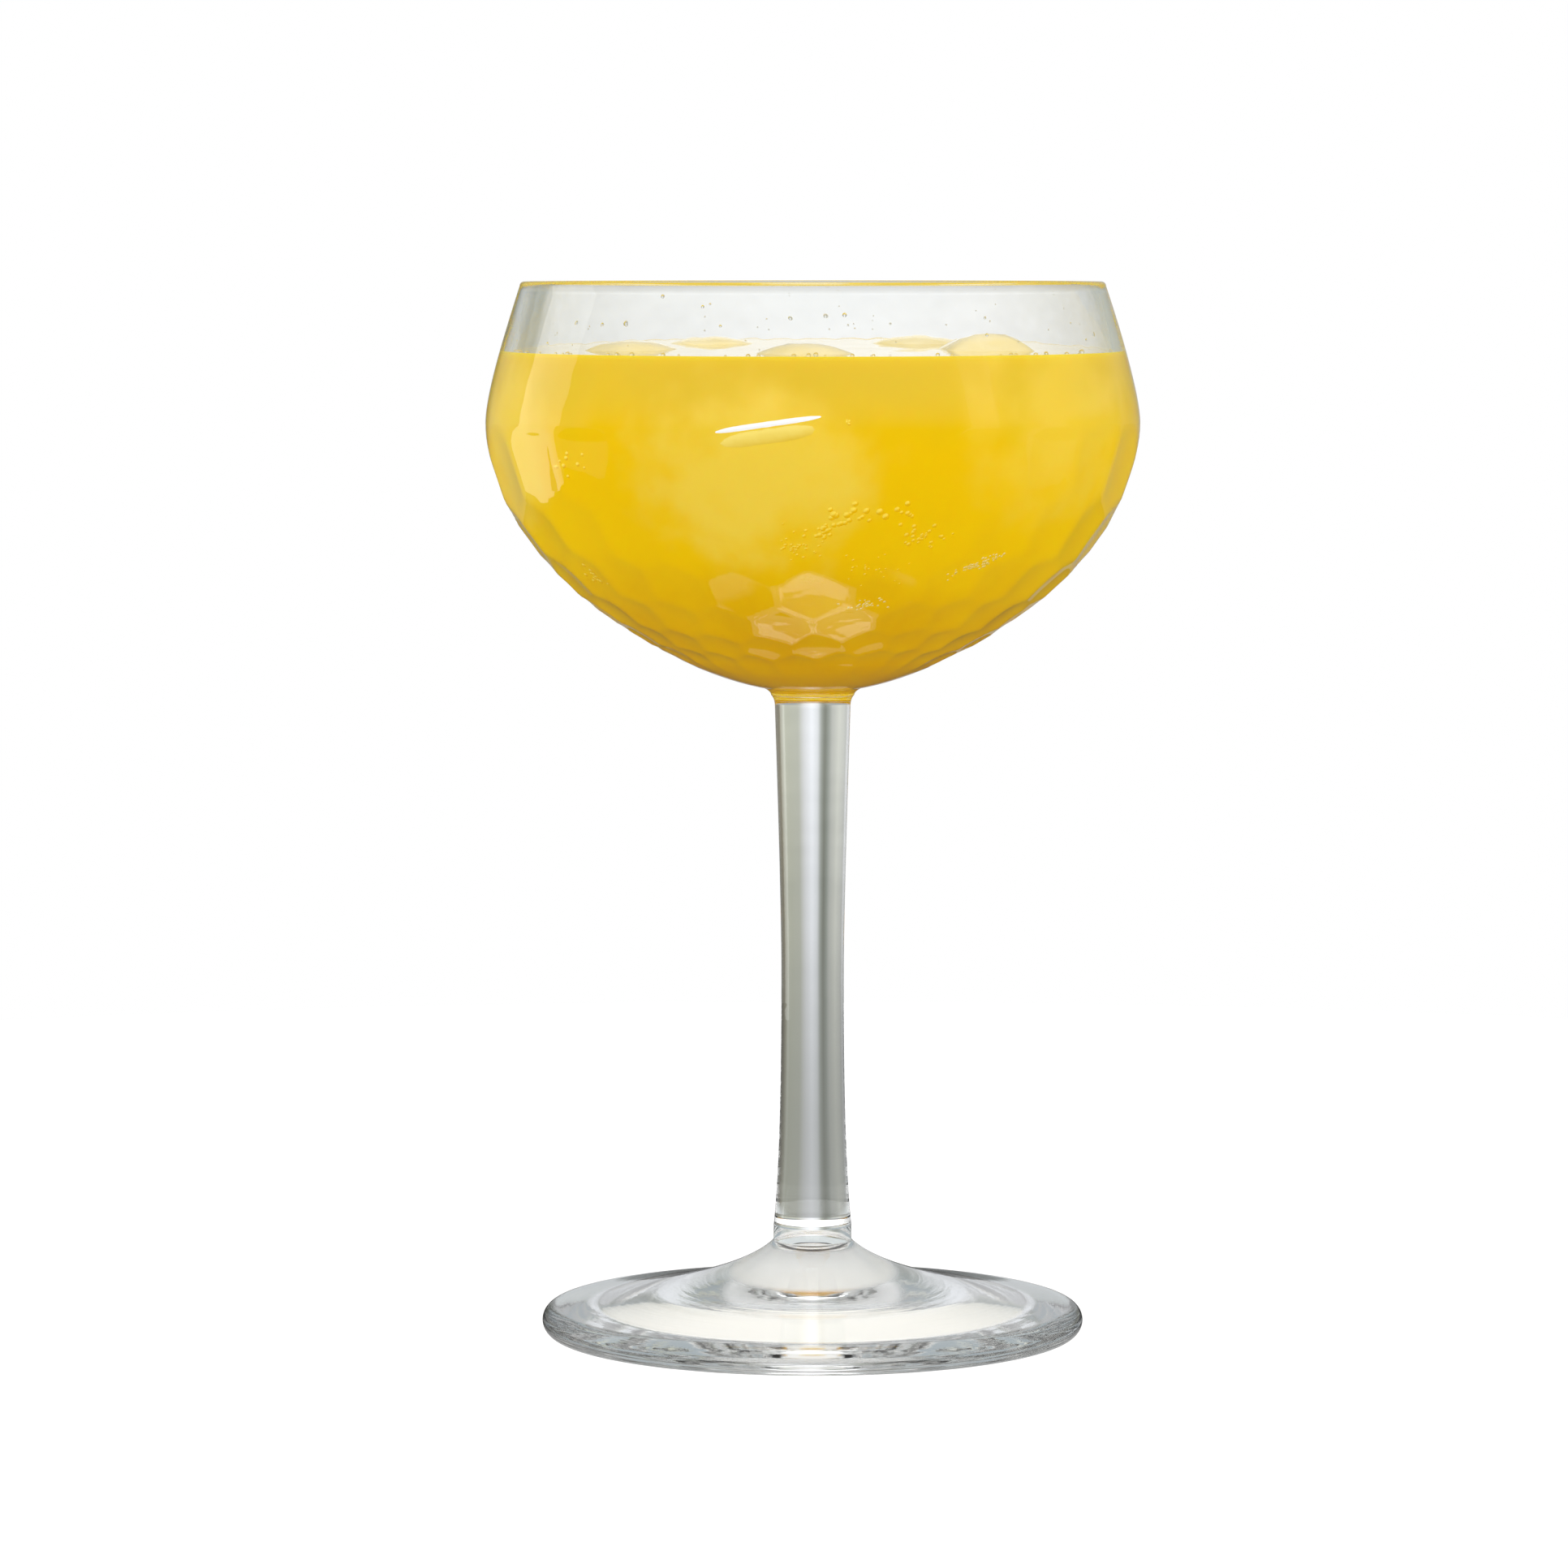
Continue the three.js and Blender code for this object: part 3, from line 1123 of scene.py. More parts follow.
    def ripple(self, piece: bpy.types.Object) -> None:
        """Gives the clear wall above the belly the slow waves of blown glass, all inwards.

        Args:
            piece: The bowl.
        """
        places = places_of(piece)
        for number in np.nonzero(places[:, 2] > self.belly_height + WELD)[0]:
            spot = Vector(places[number])
            fade = min(1.0, (spot.z - self.belly_height) / self.wave_size)
            wave = (1 + noise.noise(spot / self.wave_size)) / 2
            shrink = 1 - fade * wave * self.wave_depth / self.belly_radius
            places[number, :2] *= shrink
        move_points(piece, places)

    def build(self, glass: ClearGlass, seam: bpy.types.Material) -> bpy.types.Object:
        """Builds and dresses the bowl.

        Args:
            glass: Finish of the glass.
            seam: Material of the fused joints.

        Returns:
            The bowl.
        """
        piece = turned("glass_bowl", self.outline(), self.scoops_round * self.steps_per_scoop)
        self.hammer(piece)
        self.ripple(piece)
        paint(piece, glass.material(), seam)
        paint_level_faces(piece, [self.bottom], 1)
        return piece


@dataclass
class Drink:
    """The drink, which wets the glass all round and climbs it a little at the edge."""

    bowl: Bowl
    drop: float = 0.011
    overlap: float = 0.00025
    meniscus_rise: float = 0.0001
    meniscus_width: float = 0.001
    meniscus_foot: float = 0.00055
    steps: int = 160
    swell_size: float = 0.012
    swell_depth: float = 0.00003
    facing_up: float = 0.3
    cavity_steps: int = 56
    side_steps: int = 20
    meniscus_steps: int = 10
    surface_rings: int = 30

    @property
    def level(self) -> float:
        """Height of the surface."""
        return self.bowl.rim_top - self.drop

    def outline(self) -> List[Point]:
        """Works out its outline, from the floor of the cavity to the middle of the surface.

        Returns:
            Radius and height of its points.
        """
        upper = self.bowl.upper_cavity(-self.overlap)
        edge = parameter_at(upper, self.level + self.meniscus_rise)
        wall = bezier(upper, 1, edge, edge)[0]
        inner = wall[0] - self.meniscus_width
        meniscus = [wall, (wall[0] - self.meniscus_foot, self.level), (inner, self.level)]
        rings = self.surface_rings
        return [
            *bezier(self.bowl.cavity(-self.overlap), self.cavity_steps)[::-1],
            *bezier(upper, self.side_steps, edge, 1.0)[::-1][1:],
            *bezier(meniscus, self.meniscus_steps)[1:],
            *[(inner * (1 - ring / rings), self.level) for ring in range(1, rings + 1)],
        ]

    def build(self, finish: CloudyDrink, ice: Sequence["IceCube"]) -> bpy.types.Object:
        """Builds and dresses the drink.

        Args:
            finish: Of the drink.
            ice: The cubes that float in it.

        Returns:
            The drink, without a hole for the ice.
        """
        piece = turned("yellow_drink", self.outline(), self.steps)
        places = places_of(piece)
        open_top = np.nonzero(np.abs(places[:, 2] - self.level) < WELD)[0]
        for number in open_top:
            swell = noise.noise(Vector(places[number]) / self.swell_size)
            places[number, 2] += swell * self.swell_depth
        move_points(piece, places)
        afloat = [cube.middle(self) for cube in ice]
        paint(piece, finish.material(), finish.surface_material(afloat))
        for face in piece.data.polygons:
            if face.center.z > self.level - self.swell_depth and face.normal.z > self.facing_up:
                face.material_index = 1
        return piece


@dataclass
class IceCube:
    """A tray-made cube of ice, tapered and rounded by melting, that floats in a ring of five."""

    name: str
    body: str
    number: int
    proud: float
    turn: float
    lean: float
    edge: float = 0.022
    height: float = 0.02
    corner: float = 0.0045
    corner_steps: int = 4
    smoothing: int = 2
    taper: float = 0.08
    mouth_gap: float = 0.0008
    bearing: float = 268.0
    cubes: int = 5
    dimple_size: float = 0.007
    dimple_depth: float = 0.0007
    dimple_shift: float = 3.7
    dimple_end: float = 0.75
    dome_radius: float = 0.0076
    dome_power: int = 3
    dome_warp: float = 0.4
    dome_shift: float = 0.01
    dome_slack: float = 0.35

    def middle(self, drink: Drink) -> Triple:
        """Works out where its middle floats.

        Args:
            drink: The drink that it floats in.

        Returns:
            The place.
        """
        bearing = math.radians(self.bearing + 360 / self.cubes * self.number)
        reach = self.edge * math.sqrt(0.5) - (math.sqrt(2) - 1) * self.corner
        lean_reach = self.height / 2 * abs(math.sin(math.radians(self.lean)))
        ring = drink.bowl.rim_radius - drink.bowl.wall - self.mouth_gap - reach - lean_reach
        height = drink.level + self.proud - self.height / 2
        return (ring * math.cos(bearing), ring * math.sin(bearing), height)

    def build(self, drink: Drink, finish: bpy.types.Material) -> bpy.types.Object:
        """Builds and dresses the cube.

        Args:
            drink: The drink that it floats in.
            finish: Material of the ice.

        Returns:
            The cube.
        """
        bpy.ops.object.select_all(action="DESELECT")
        bpy.ops.mesh.primitive_cube_add(size=1.0, scale=(self.edge, self.edge, self.height))
        piece = bpy.context.object
        piece.name = piece.data.name = self.name
        bpy.ops.object.transform_apply(scale=True)
        bpy.ops.object.mode_set(mode="EDIT")
        bpy.ops.mesh.select_all(action="SELECT")
        bpy.ops.mesh.bevel(
            offset=self.corner, segments=self.corner_steps, profile=0.5, affect="EDGES"
        )
        bpy.ops.object.mode_set(mode="OBJECT")
        smooth = piece.modifiers.new("rounding", "SUBSURF")
        smooth.levels = smooth.render_levels = self.smoothing
        bpy.ops.object.modifier_apply(modifier=smooth.name)
        self.melt(piece)
        piece.rotation_euler = (math.radians(self.lean), 0.0, math.radians(self.turn))
        piece.location = self.middle(drink)
        bpy.ops.object.transform_apply(location=True, rotation=True, scale=False)
        bpy.ops.object.shade_smooth()
        paint(piece, finish)
        return piece

    def melt(self, piece: bpy.types.Object) -> None:
        """Tapers the cube, rounds the part in the air and presses melted hollows into it.

        Args:
            piece: The cube, upright at the origin.
        """
        places = places_of(piece)
        normals = [vertex.normal.copy() for vertex in piece.data.vertices]
        for number, normal in enumerate(normals):
            spot = Vector(places[number])
            shift = Vector((0, 0, self.number * self.dimple_shift))
            hollow = (1 + noise.noise(spot / self.dimple_size + shift)) / 2
            top = spot.z / self.height + 0.5
            fade = 1 - max(0.0, (top - self.dimple_end) / (1 - self.dimple_end))
            spot -= normal * hollow * self.dimple_depth * fade
            level = Vector((spot.x, spot.y, self.number * self.dome_shift))
            uneven = noise.noise(level / self.dimple_size)
            far = sum((abs(part) / self.dome_radius) ** self.dome_power for part in spot.xy)
            far *= 1 + self.dome_warp * uneven
            spot.z -= self.proud * far / (1 - self.dome_slack + self.dome_slack * far) * top
            narrow = 1 - self.taper * (spot.z / self.height + 0.5)
            places[number] = (spot.x * narrow, spot.y * narrow, spot.z)
        move_points(piece, places)


@dataclass(frozen=True)
class Cluster:
    """A patch of small bubbles on the inside of the glass, which may slope."""

    bearing: float
    height: float
    width: float
    tall: float
    count: int
    size: float
    slope: float = 0.0


@dataclass
class SmallThings:
    """Bubbles in the drink, froth at its edge and drops on the clear wall."""

    bowl: Bowl
    drink: Drink
    seed: int = 11
    least: float = 0.0002
    most: float = 0.0005
    ball_height: float = 0.94
    ball_detail: int = 2
    clusters: Tuple[Cluster, ...] = (
        Cluster(-83.7, 0.1281, 0.0055, 0.003, 20, 0.0006),
        Cluster(-88.6, 0.1258, 0.0035, 0.0025, 16, 0.00045),
        Cluster(-93, 0.1240, 0.0045, 0.003, 34, 0.0003),
        Cluster(-73, 0.1290, 0.0022, 0.003, 8, 0.0005),
        Cluster(-68, 0.1252, 0.0075, 0.0025, 26, 0.0004),
        Cluster(-76, 0.1208, 0.008, 0.004, 24, 0.00025),
        Cluster(-84, 0.1416, 0.0012, 0.001, 5, 0.0003),
        Cluster(-150, 0.1190, 0.004, 0.003, 14, 0.0005),
        Cluster(-140, 0.1350, 0.006, 0.006, 10, 0.0004),
        Cluster(20, 0.1230, 0.006, 0.004, 30, 0.0006),
        Cluster(75, 0.1260, 0.006, 0.004, 34, 0.0006),
        Cluster(150, 0.1220, 0.007, 0.004, 30, 0.0006),
    )
    foam_patches: Tuple[Cluster, ...] = (
        Cluster(-52, 0.1210, 0.0065, 0.0014, 60, 0.00028, 0.35),
        Cluster(-76.5, 0.1152, 0.0042, 0.001, 36, 0.00025),
    )
    spread: float = 0.3
    smallest: float = 0.55
    froth_count: int = 44
    froth_size: float = 0.8
    froth_lift: Point = (0.2, 0.9)
    froth_gap: float = 1.2
    drop_count: int = 60
    drop_gaps: Point = (0.0014, 0.001)
    drop_least: float = 0.6
    drop_shape: Triple = (0.5, 1.0, 1.1)
    drop_sinking: float = 1.6
    drop_rarity: float = 3.0
    edge_bearing: float = -98.0
    edge_height: float = 0.1397
    edge_length: float = 0.0205
    edge_tall: float = 0.0042
    edge_proud: float = 0.0004
    edge_blunt: float = 0.6
    edge_slope: float = 8.0
    edge_sides: int = 24
    edge_rings: int = 28
    # Length, height and lift of the painted highlight strip, in shares of the ice edge.
    highlight_length: float = 0.97
    highlight_tall: float = 0.3
    highlight_lift: float = 0.4

    def ball(self) -> bpy.types.Object:
        """Makes a slightly flattened ball of unit radius, with few faces.

        Returns:
            The ball.
        """
        bpy.ops.object.select_all(action="DESELECT")
        bpy.ops.mesh.primitive_ico_sphere_add(subdivisions=self.ball_detail, radius=1.0)
        ball = bpy.context.object
        bpy.ops.object.mode_set(mode="EDIT")
        bpy.ops.mesh.select_all(action="SELECT")
        bpy.ops.transform.resize(value=(1.0, 1.0, self.ball_height))
        bpy.ops.object.mode_set(mode="OBJECT")
        bpy.ops.object.shade_smooth()
        return ball

    def on_wall(self, bearing: float, height: float, gap: float) -> Triple:
        """A place on the inside of the bowl, set in by a gap."""
        radius = self.bowl.inner_radius(height, gap)
        return (radius * math.cos(bearing), radius * math.sin(bearing), height)

    def along_wall(
        self, name: str, length: float, height: float, depth: float, lift: float
    ) -> bpy.types.Object:
        """Makes a slim rounded bar against the inside of the bowl, at the slope of the ice edge.

        Args:
            name: Name of the piece.
            length: Of the bar.
            height: Of the bar.
            depth: Of the bar, square to the glass.
            lift: Height of its middle above that of the ice edge.

        Returns:
            The bar.
        """
        bpy.ops.object.select_all(action="DESELECT")
        bpy.ops.mesh.primitive_uv_sphere_add(
            segments=self.edge_sides,
            ring_count=self.edge_rings,
            radius=0.5,
            rotation=(0, math.pi / 2, 0),
        )
        bar = bpy.context.object
        bar.name = bar.data.name = name
        bpy.ops.object.transform_apply(rotation=True)
        slope = math.tan(math.radians(self.edge_slope))
        places = places_of(bar)
        for number, (x, y, z) in enumerate(places):
            along = math.copysign(abs(2 * x) ** self.edge_blunt / 2, x) * length
            level = self.edge_height + lift + z * height + along * slope
            radius = self.bowl.inner_radius(level) + self.edge_proud - (y + 0.5) * depth
            bearing = math.radians(self.edge_bearing) + along / radius
            places[number] = (radius * math.cos(bearing), radius * math.sin(bearing), level)
        move_points(bar, places)
        pick(bar)
        bpy.ops.object.mode_set(mode="EDIT")
        bpy.ops.mesh.select_all(action="SELECT")
        bpy.ops.mesh.normals_make_consistent(inside=False)
        bpy.ops.object.mode_set(mode="OBJECT")
        bpy.ops.object.shade_smooth()
        return bar

    def ice_edge(self) -> bpy.types.Object:
        """The upper edge of the front cube, where it shows through the glass."""
        depth = self.edge_tall / 2
        return self.along_wall("ice_edge", self.edge_length, self.edge_tall, depth, 0.0)

    def painted_highlight_strip(self) -> bpy.types.Object:
        """A white strip along the top of that edge: a painted highlight where the edge catches the
        light.
        """
        length, tall = self.edge_length * self.highlight_length, self.edge_tall * self.highlight_tall
        return self.along_wall("painted_highlight_strip", length, tall, tall, self.edge_tall * self.highlight_lift)

    def clinging(
        self, name: str, clusters: Sequence[Cluster], dice: random.Random
    ) -> bpy.types.Object:
        """Builds patches of small balls that cling to the inside of the glass.

        Args:
            name: Name of the piece.
            clusters: The patches.
            dice: Source of chance.

        Returns:
            The balls, joined.
        """
        spots = []
        for cluster in clusters:
            for _ in range(cluster.count):
                along = dice.gauss(0, self.spread) * cluster.width
                up = dice.gauss(0, self.spread) * cluster.tall
                height = cluster.height + up + along * cluster.slope
                bearing = math.radians(cluster.bearing) + along / self.bowl.inner_radius(height)
                size = cluster.size * (self.smallest + (1 - self.smallest) * dice.random())
                spots.append(Spot(self.on_wall(bearing, height, -self.drink.overlap), (size,) * 3))
        return copied(name, self.ball(), spots)

    def bubbles(self, dice: random.Random) -> bpy.types.Object:
        """Air bubbles that cling to the glass below the surface."""
        return self.clinging("drink_bubbles", self.clusters, dice)

    def foam(self, dice: random.Random) -> bpy.types.Object:
        """Pale foam in patches on the glass."""
        return self.clinging("drink_foam", self.foam_patches, dice)

    def froth(self, dice: random.Random) -> bpy.types.Object:
        """Builds tiny bubbles along the edge of the surface, on the side of the viewer.

        Args:
            dice: Source of chance.

        Returns:
            The bubbles, joined.
        """
        spots = []
        for _ in range(self.froth_count):
            bearing = -dice.uniform(0, math.pi)
            size = dice.uniform(self.least, self.most) * self.froth_size
            height = self.drink.level + size * dice.uniform(*self.froth_lift)
            spots.append(Spot(self.on_wall(bearing, height, size * self.froth_gap), (size,) * 3))
        return copied("drink_froth", self.ball(), spots)

    def drops(self, dice: random.Random) -> bpy.types.Object:
        """Builds drops on the clear wall above the drink, more of them low and few of them large.

        Args:
            dice: Source of chance.

        Returns:
            The drops, joined.
        """
        spots = []
        low, high = self.drink.level + self.drop_gaps[0], self.bowl.lip - self.drop_gaps[1]
        for _ in range(self.drop_count):
            bearing = dice.uniform(0, math.tau)
            height = low + (high - low) * dice.random() ** self.drop_sinking
            growth = dice.random() ** self.drop_rarity
            size = self.least * self.drop_least + (self.most - self.least) * growth
            shape = tuple(size * part for part in self.drop_shape)
            spots.append(Spot(self.on_wall(bearing, height, 0.0), shape, (0, 0, bearing)))
        return copied("wall_drops", self.ball(), spots)


@dataclass(frozen=True)
class SoftBox:
    """A soft box that faces the glass, with its middle at a height and a distance from the axis.

    The bearing is in degrees to the right of the line of sight, shine is the radiance of its face,
    share is how much of it lights matte surfaces, and mirrored tells whether gloss shows it.
    """

    name: str
    bearing: float
    distance: float
    height: float
    size: Point
    shine: float
    share: float
    mirrored: bool = True


@dataclass
class Studio:
    """White floor and backdrop, soft boxes, and the camera of the photo."""

    lens: float = 150.0
    sensor: float = 36.0
    distance: float = 1.0
    eye_height: float = 0.1655
    eye_side: float = -0.0044
    look_down: float = 4.6
    fill: float = 1.0
    bounces: int = 24
    floor_drop: float = 0.0001
    floor_radius: float = 0.45
    floor_corners: int = 96
    floor_glow: float = 0.8
    floor_white: float = 0.8
    floor_matte: float = 0.3
    floor_gloss: float = 0.06
    foot_gloss: float = 0.5
    foot_range: Point = (0.04, 0.046)
    far_range: Point = (0.055, 0.075)
    fade_start: float = 0.2
    fade_shares: Point = (0.47, 0.22)
    # Size, raggedness and brightness of the painted pools of caustic light on the floor near the
    # foot.
    painted_caustic_radii: Point = (0.019, 0.023)
    painted_caustic_size: float = 0.016
    painted_caustic_warp: float = 0.05
    painted_caustic_glow: float = 1.8
    ceiling: Triple = (0.92, 0.91, 0.88)
    far_wall: Triple = (0.38, 0.43, 0.46)
    under_foot: Triple = (0.8, 0.78, 0.71)
    # Painted shadow on the floor under the brim, seen through the glass.
    brim_shadow: Triple = (0.38, 0.43, 0.45)
    hollow_radii: Point = (0.0323, 0.0331)
    # Tone of the painted shade near the glass, on the floor and on the backdrop below the horizon.
    painted_shade_tone: Triple = (0.236, 0.243, 0.23)
    painted_shade_range: Point = (-0.113, -0.078)
    painted_shade_share: float = 0.22
    horizon_range: Point = (-0.07, -0.03)
    horizon_gain: float = 1.3
    mirrored_loss: float = 0.5
    wall_range: Point = (0.05, 0.16)
    wall_aside: Point = (0.12, 0.4)
    beyond_range: Point = (-0.3, 0.3)
    ceiling_range: Point = (0.5, 0.75)
    near_ceiling_range: Point = (-0.05, 0.5)
    aim: Triple = (0.0, 0.0, 0.12)
    softboxes: Tuple[SoftBox, ...] = (
        SoftBox("left_softbox", -70, 1.0, 0.3, (0.45, 1.2), 1.0, 0.1),
        SoftBox("right_softbox", 119, 1.1, 0.4, (0.22, 0.9), 0.3, 0.3),
        SoftBox("top_softbox", 180, 0.5, 1.2, (0.7, 0.7), 1.5, 0.3),
        SoftBox("right_fill", 110, 1.0, 0.06, (0.6, 0.6), 0.7, 1.0, mirrored=False),
    )
    bands: Tuple[Tuple[float, Triple], ...] = (
        (-180, (0.1, 0.1, 0.1)),
        (-98, (0.12, 0.12, 0.12)),
        (-91, (0.75, 0.76, 0.78)),
        (-62, (0.75, 0.76, 0.78)),
        (-54, (0.5, 0.51, 0.49)),
        (-33, (0.57, 0.58, 0.53)),
        (-22, (0.45, 0.46, 0.43)),
        (-17, (0.28, 0.3, 0.27)),
        (-13, (0.2, 0.21, 0.18)),
        (-9, (0.32, 0.34, 0.31)),
        (-5, (0.68, 0.7, 0.72)),
        (1, (0.82, 0.84, 0.88)),
        (9, (0.65, 0.66, 0.67)),
        (16, (0.45, 0.46, 0.4)),
        (35, (0.44, 0.45, 0.37)),
        (40, (0.52, 0.53, 0.45)),
        (48, (0.3, 0.29, 0.22)),
        (57, (0.19, 0.17, 0.12)),
        (78, (0.2, 0.19, 0.15)),
        (84, (0.6, 0.61, 0.6)),
        (91, (0.65, 0.66, 0.66)),
        (97, (0.1, 0.1, 0.1)),
        (180, (0.1, 0.1, 0.1)),
    )

    def band_tone(self, shader: Shader, across: Wire, away: Wire) -> Wire:
        """Finds the tone of the studio in a direction, by its bearing from the line of sight.

        Args:
            shader: The shader that it is for.
            across: How far the direction goes to the right.
            away: How far the direction goes away from the viewer.

        Returns:
            The tone.
        """
        bearing = across.math("ARCTAN2", away) / math.tau + 0.5
        stops = [(angle / 360 + 0.5, opaque(tone)) for angle, tone in self.bands]
        return shader.node("ShaderNodeValToRGB", {"stops": stops}, {0: bearing})

    def seen(self, shader: Shader) -> Tuple[Wire, Wire]:
        """Tells the rays that make the picture from those that only carry light.

        Args:
            shader: The shader that it is for.

        Returns:
            1 for rays from the camera, and 1 for those that reach it through glass or off a gloss.
        """
        path = shader.node("ShaderNodeLightPath", output="Is Camera Ray")
        through = path.other("Is Glossy Ray") + path.other("Is Transmission Ray")
        straight = path.other("Diffuse Depth").math("LESS_THAN", 0.5)
        return path, through.math("MINIMUM", 1.0) * straight

    def bounced(self, path: Wire) -> Wire:
        """1 for rays that were mirrored on their way."""
        return path.other("Glossy Depth").math("GREATER_THAN", 0.5)

    def light_world(self) -> None:
        """Makes the backdrop and the even light of the room."""
        world = bpy.data.worlds.new("studio")
        world.use_nodes = True
        bpy.context.scene.world = world
        shader = Shader(world.node_tree)
        across, away, up = shader.parts(shader.node("ShaderNodeTexCoord", output="Generated"))
        camera, through = self.seen(shader)
        ahead = away + (away.math("ABSOLUTE") - away) * (1.0 - self.bounced(camera))
        gain = up.ramp(*self.horizon_range, 1.0, self.horizon_gain)
        low = shader.dim(self.band_tone(shader, across, ahead), gain)
        # Painted shade: below the horizon the backdrop darkens the more steeply it looks down,
        # towards the floor near the glass.
        low = shader.blend(up.ramp(*self.painted_shade_range, self.painted_shade_share, 0.0), low, opaque(self.painted_shade_tone))
        low = shader.dim(low, 1.0 - camera.other("Is Reflection Ray") * self.mirrored_loss)
        beyond = away.between(*self.beyond_range)
        aside = across.math("ABSOLUTE").between(*self.wall_aside)
        wall = up.between(*self.wall_range) * beyond * aside
        tone = shader.blend(wall, low, opaque(self.far_wall))
        near_ceiling = up.between(*self.near_ceiling_range) * (1.0 - beyond)
        high = up.between(*self.ceiling_range).math("MAXIMUM", near_ceiling)
        tone = shader.blend(high, tone, opaque(self.ceiling))
        tone = shader.blend(camera, tone, grey(1.0))
        backdrop = shader.node("ShaderNodeBackground", inputs={"Color": tone})
        room = shader.node("ShaderNodeBackground", inputs={"Color": grey(self.fill)})
        shader.finish(shader.mix(camera + through, room, backdrop), "ShaderNodeOutputWorld")

    def lay_floor(self) -> bpy.types.Object:
        """Lays a white floor that keeps the shadow of the glass and ends in the white backdrop.

        Returns:
            The floor.
        """
        bpy.ops.object.select_all(action="DESELECT")
        bpy.ops.mesh.primitive_circle_add(
            vertices=self.floor_corners,
            radius=self.floor_radius,
            fill_type="NGON",
            location=(0, 0, -self.floor_drop),
        )
        floor = bpy.context.object
        floor.name = "studio_floor"
        material, shader = new_material("white_floor")
        across, away, _ = shader.parts(shader.place())
        radius = (across * across + away * away).math("SQRT")
        camera, through = self.seen(shader)
        band = self.band_tone(shader, across, away.math("ABSOLUTE"))
        # Painted shade: seen through and off the glass, the floor darkens towards the glass.
        fade = radius.ramp(self.fade_start, self.floor_radius, *self.fade_shares)
        dimmed = shader.blend(fade, band, opaque(self.painted_shade_tone))
        far = through * radius.between(*self.far_range)
        # Painted shadow: seen through the glass, the floor under the brim is a darker blue-grey
        # than the cream under the hollow.
        brim = radius.between(*self.hollow_radii)
        near = shader.blend(brim, opaque(self.under_foot), opaque(self.brim_shadow))
        near = shader.blend(camera, near, grey(self.floor_glow))
        tone = shader.blend(far, near, dimmed)
        gloss = through * self.bounced(camera)
        # Painted light: ragged bright pools on the floor near the foot, standing in for caustics,
        # seen only by rays that were mirrored on their way.
        ragged = shader.noise(shader.place(), self.painted_caustic_size, detail=3.0) - 0.5
        edge = radius + ragged * self.painted_caustic_warp
        painted_caustic = 1.0 - edge.between(*self.painted_caustic_radii)
        beside = radius.between(*self.foot_range)
        dark = shader.blend(beside, grey(self.foot_gloss), grey(self.floor_gloss))
        tone = shader.blend(gloss, tone, shader.blend(painted_caustic, dark, grey(self.painted_caustic_glow)))
        glow = shader.node("ShaderNodeEmission", inputs={"Color": tone})
        pale = shader.blend(far.math("MAXIMUM", gloss), grey(self.floor_matte), grey(0.0))
        shown = shader.node("ShaderNodeAddShader", inputs={0: glow, 1: shader.matte(pale)})
        plain = shader.matte(grey(self.floor_white))
        shader.finish(shader.mix(camera + through, plain, shown))
        paint(floor, material)
        return floor

    def hang_softbox(self, box: SoftBox) -> None:
        """Hangs a soft box that faces the glass and isn't seen through it.

        Args:
            box: The soft box.
        """
        data = bpy.data.lights.new(box.name, "AREA")
        data.shape = "RECTANGLE"
        data.size, data.size_y = box.size
        data.energy = box.shine * math.pi * box.size[0] * box.size[1]
        data.diffuse_factor = box.share
        lamp = bpy.data.objects.new(box.name, data)
        angle = math.radians(box.bearing)
        lamp.location = (box.distance * math.sin(angle), box.distance * math.cos(angle), box.height)
        towards = Vector(self.aim) - lamp.location
        lamp.rotation_euler = towards.to_track_quat("-Z", "Y").to_euler()
        lamp.visible_transmission = False
        lamp.visible_glossy = box.mirrored
        bpy.context.collection.objects.link(lamp)

    def set_camera(self) -> None:
        """Places the camera of the photo."""
        data = bpy.data.cameras.new("photo_camera")
        data.lens, data.sensor_width = self.lens, self.sensor
        camera = bpy.data.objects.new("photo_camera", data)
        camera.location = (self.eye_side, -self.distance, self.eye_height)
        camera.rotation_euler = (math.radians(90 - self.look_down), 0, 0)
        bpy.context.collection.objects.link(camera)
        bpy.context.scene.camera = camera

    def allow_bounces(self) -> None:
        """Lets light turn often enough to find its way out of thick glass."""
        cycles = bpy.context.scene.cycles
        cycles.max_bounces = cycles.glossy_bounces = self.bounces
        cycles.transmission_bounces = cycles.transparent_max_bounces = self.bounces

    def build(self) -> None:
        """Sets up the whole studio."""
        self.set_camera()
        self.allow_bounces()
        self.lay_floor()
        self.light_world()
        for box in self.softboxes:
            self.hang_softbox(box)
        bpy.context.scene.view_settings.view_transform = "Standard"


def place_piece(piece: bpy.types.Object, body: str, slot: str, *nodes: str) -> None:
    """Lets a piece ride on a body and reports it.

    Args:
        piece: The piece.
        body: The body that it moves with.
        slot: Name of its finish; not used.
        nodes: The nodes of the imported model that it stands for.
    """
    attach(piece, body)
    if nodes:
        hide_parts(*nodes)
    LOG.info("%s on %s, %d faces", piece.name, body, len(piece.data.polygons))
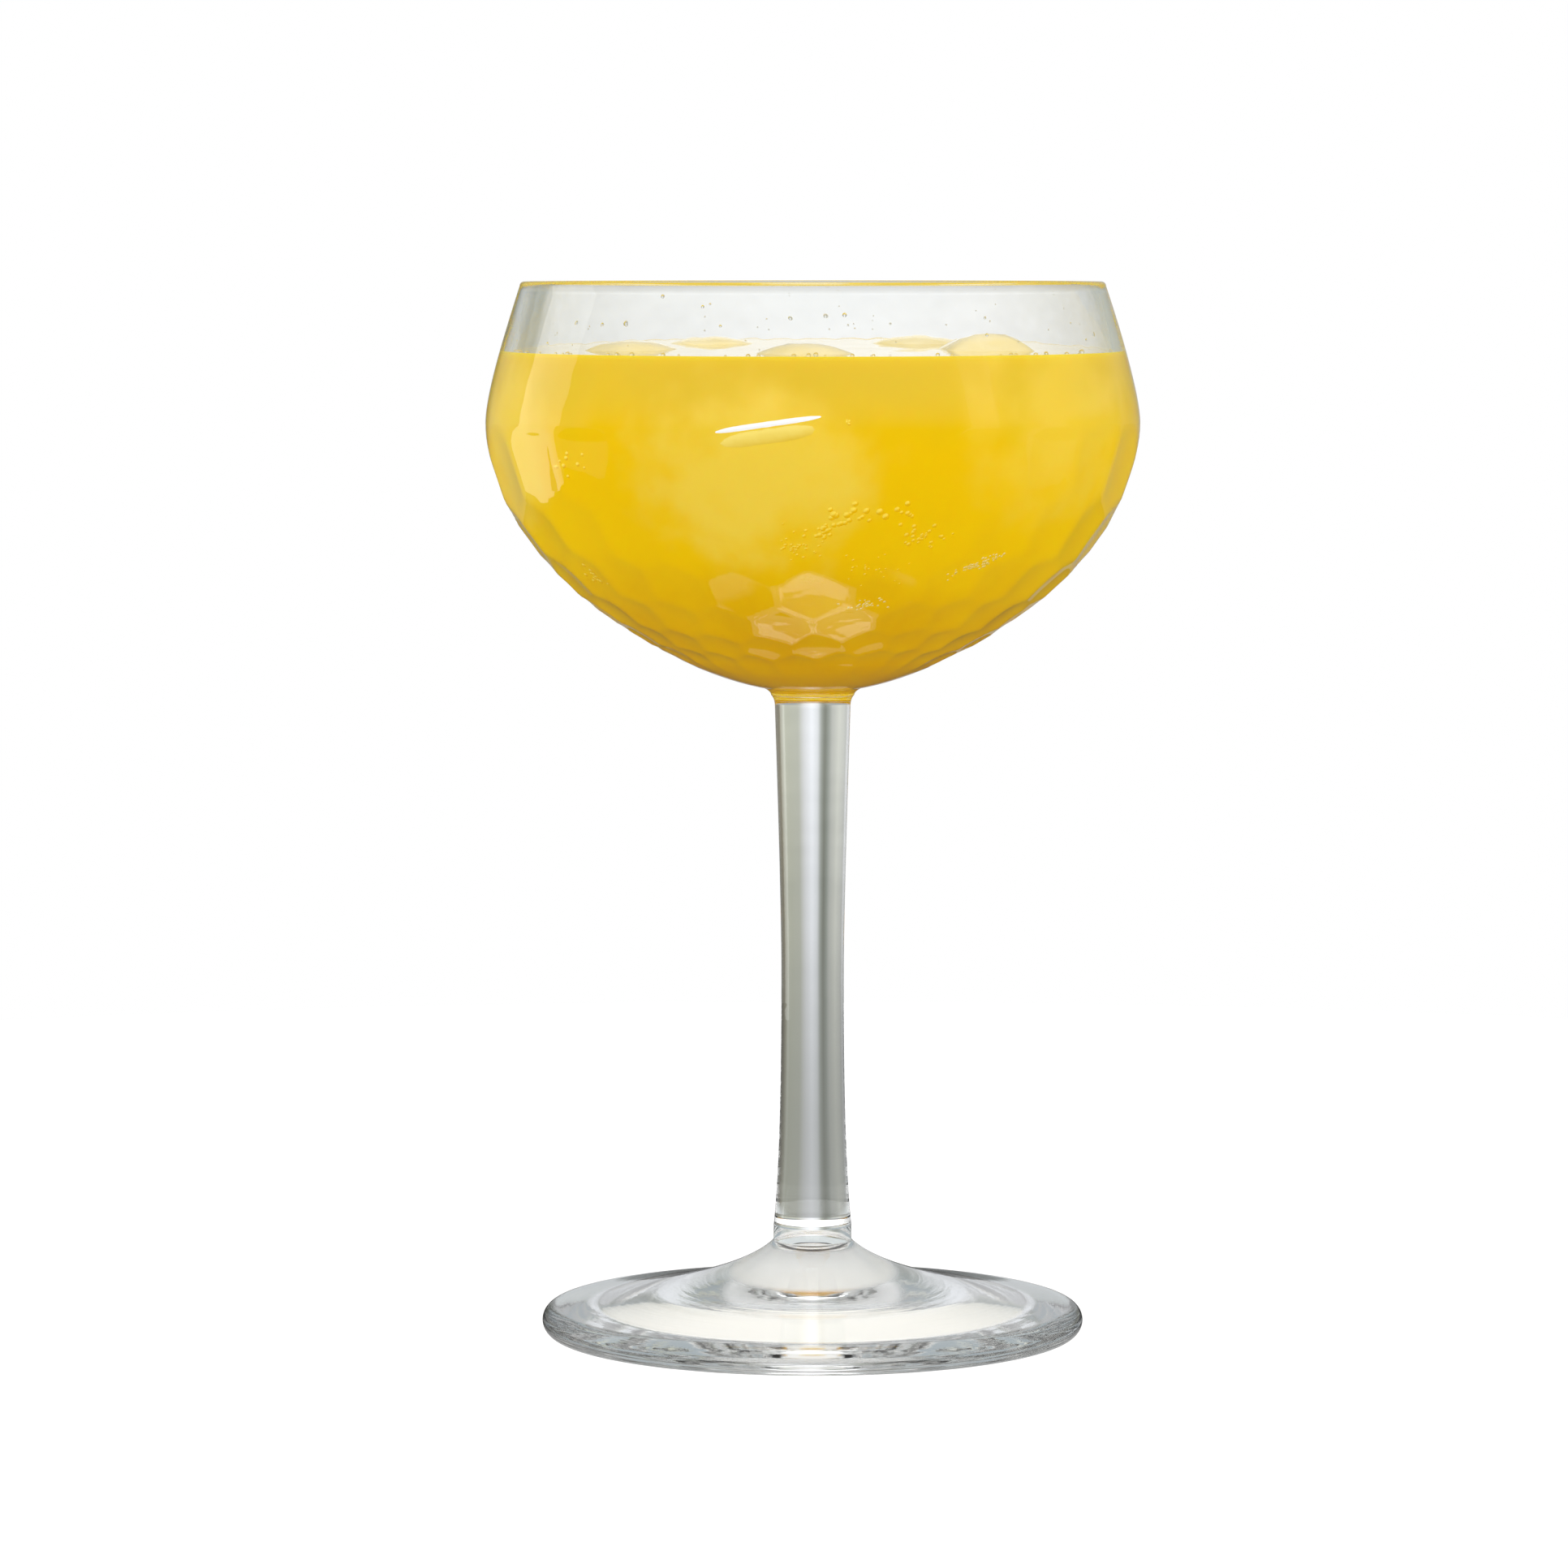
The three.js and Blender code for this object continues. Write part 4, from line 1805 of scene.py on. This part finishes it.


# Lit and shaded tones of the small things, for their painted light and shade.
BUBBLE_TONES = (colour(250, 222, 84), colour(234, 182, 10))
FOAM_TONES = (colour(250, 238, 180), colour(224, 186, 60))
ICE_EDGE_TONES = (colour(248, 222, 110), colour(228, 184, 24))
DROP_AND_HIGHLIGHT_TONES = (grey(0.98), grey(0.98))
FROTH_TONES = (grey(0.98), colour(252, 240, 190))
ICE: Tuple[Tuple[str, float, float, float], ...] = (
    ("front", 0.0015, 28, 4),
    ("right", 0.0025, 12, -5),
    ("back_right", 0.0012, 50, 3),
    ("back_left", 0.001, 5, -4),
    ("left", 0.0013, 33, 5),
)


def main() -> None:
    """Builds every piece of the glass, its drink and the studio, in order."""
    logging.basicConfig(level=logging.INFO, format="%(message)s")
    Studio().build()
    glass = ClearGlass()
    seam = FusedSeam().material()
    bowl = Bowl()
    place_piece(Foot().build(glass, seam), BODY, "clear_glass", "foot")
    place_piece(Stem().build(glass, seam), BODY, "clear_glass", "stem")
    place_piece(bowl.build(glass, seam), BODY, "clear_glass", "bowl")
    drink = Drink(bowl)
    cubes = [
        IceCube("melting_cube_" + side, side + "_ice", number, proud, turn, lean)
        for number, (side, proud, turn, lean) in enumerate(ICE)
    ]
    place_piece(drink.build(CloudyDrink(), cubes), BODY, "drink", "drink")
    ice = WetIce().material()
    for cube in cubes:
        node = "ice_cube_" + cube.body.removesuffix("_ice")
        place_piece(cube.build(drink, ice), cube.body, "ice", node)
    small = SmallThings(bowl, drink)
    dice = random.Random(small.seed)
    air = Inside.AIR
    pieces = [
        (small.bubbles(dice), Inclusion("air_bubble", air, *BUBBLE_TONES)),
        (small.foam(dice), Inclusion("pale_foam", air, *FOAM_TONES)),
        (small.froth(dice), Inclusion("froth", Inside.FROTH, *FROTH_TONES)),
        (small.drops(dice), Inclusion("water_drop", Inside.WATER, *DROP_AND_HIGHLIGHT_TONES)),
        (small.ice_edge(), Inclusion("ice_edge", air, *ICE_EDGE_TONES)),
        # A painted highlight: an opaque white strip along the top of the ice edge.
        (small.painted_highlight_strip(), Inclusion("painted_highlight_strip", air, *DROP_AND_HIGHLIGHT_TONES)),
    ]
    for piece, finish in pieces:
        paint(piece, finish.material())
        place_piece(piece, BODY, "drink")


if __name__ == "__main__":
    main()
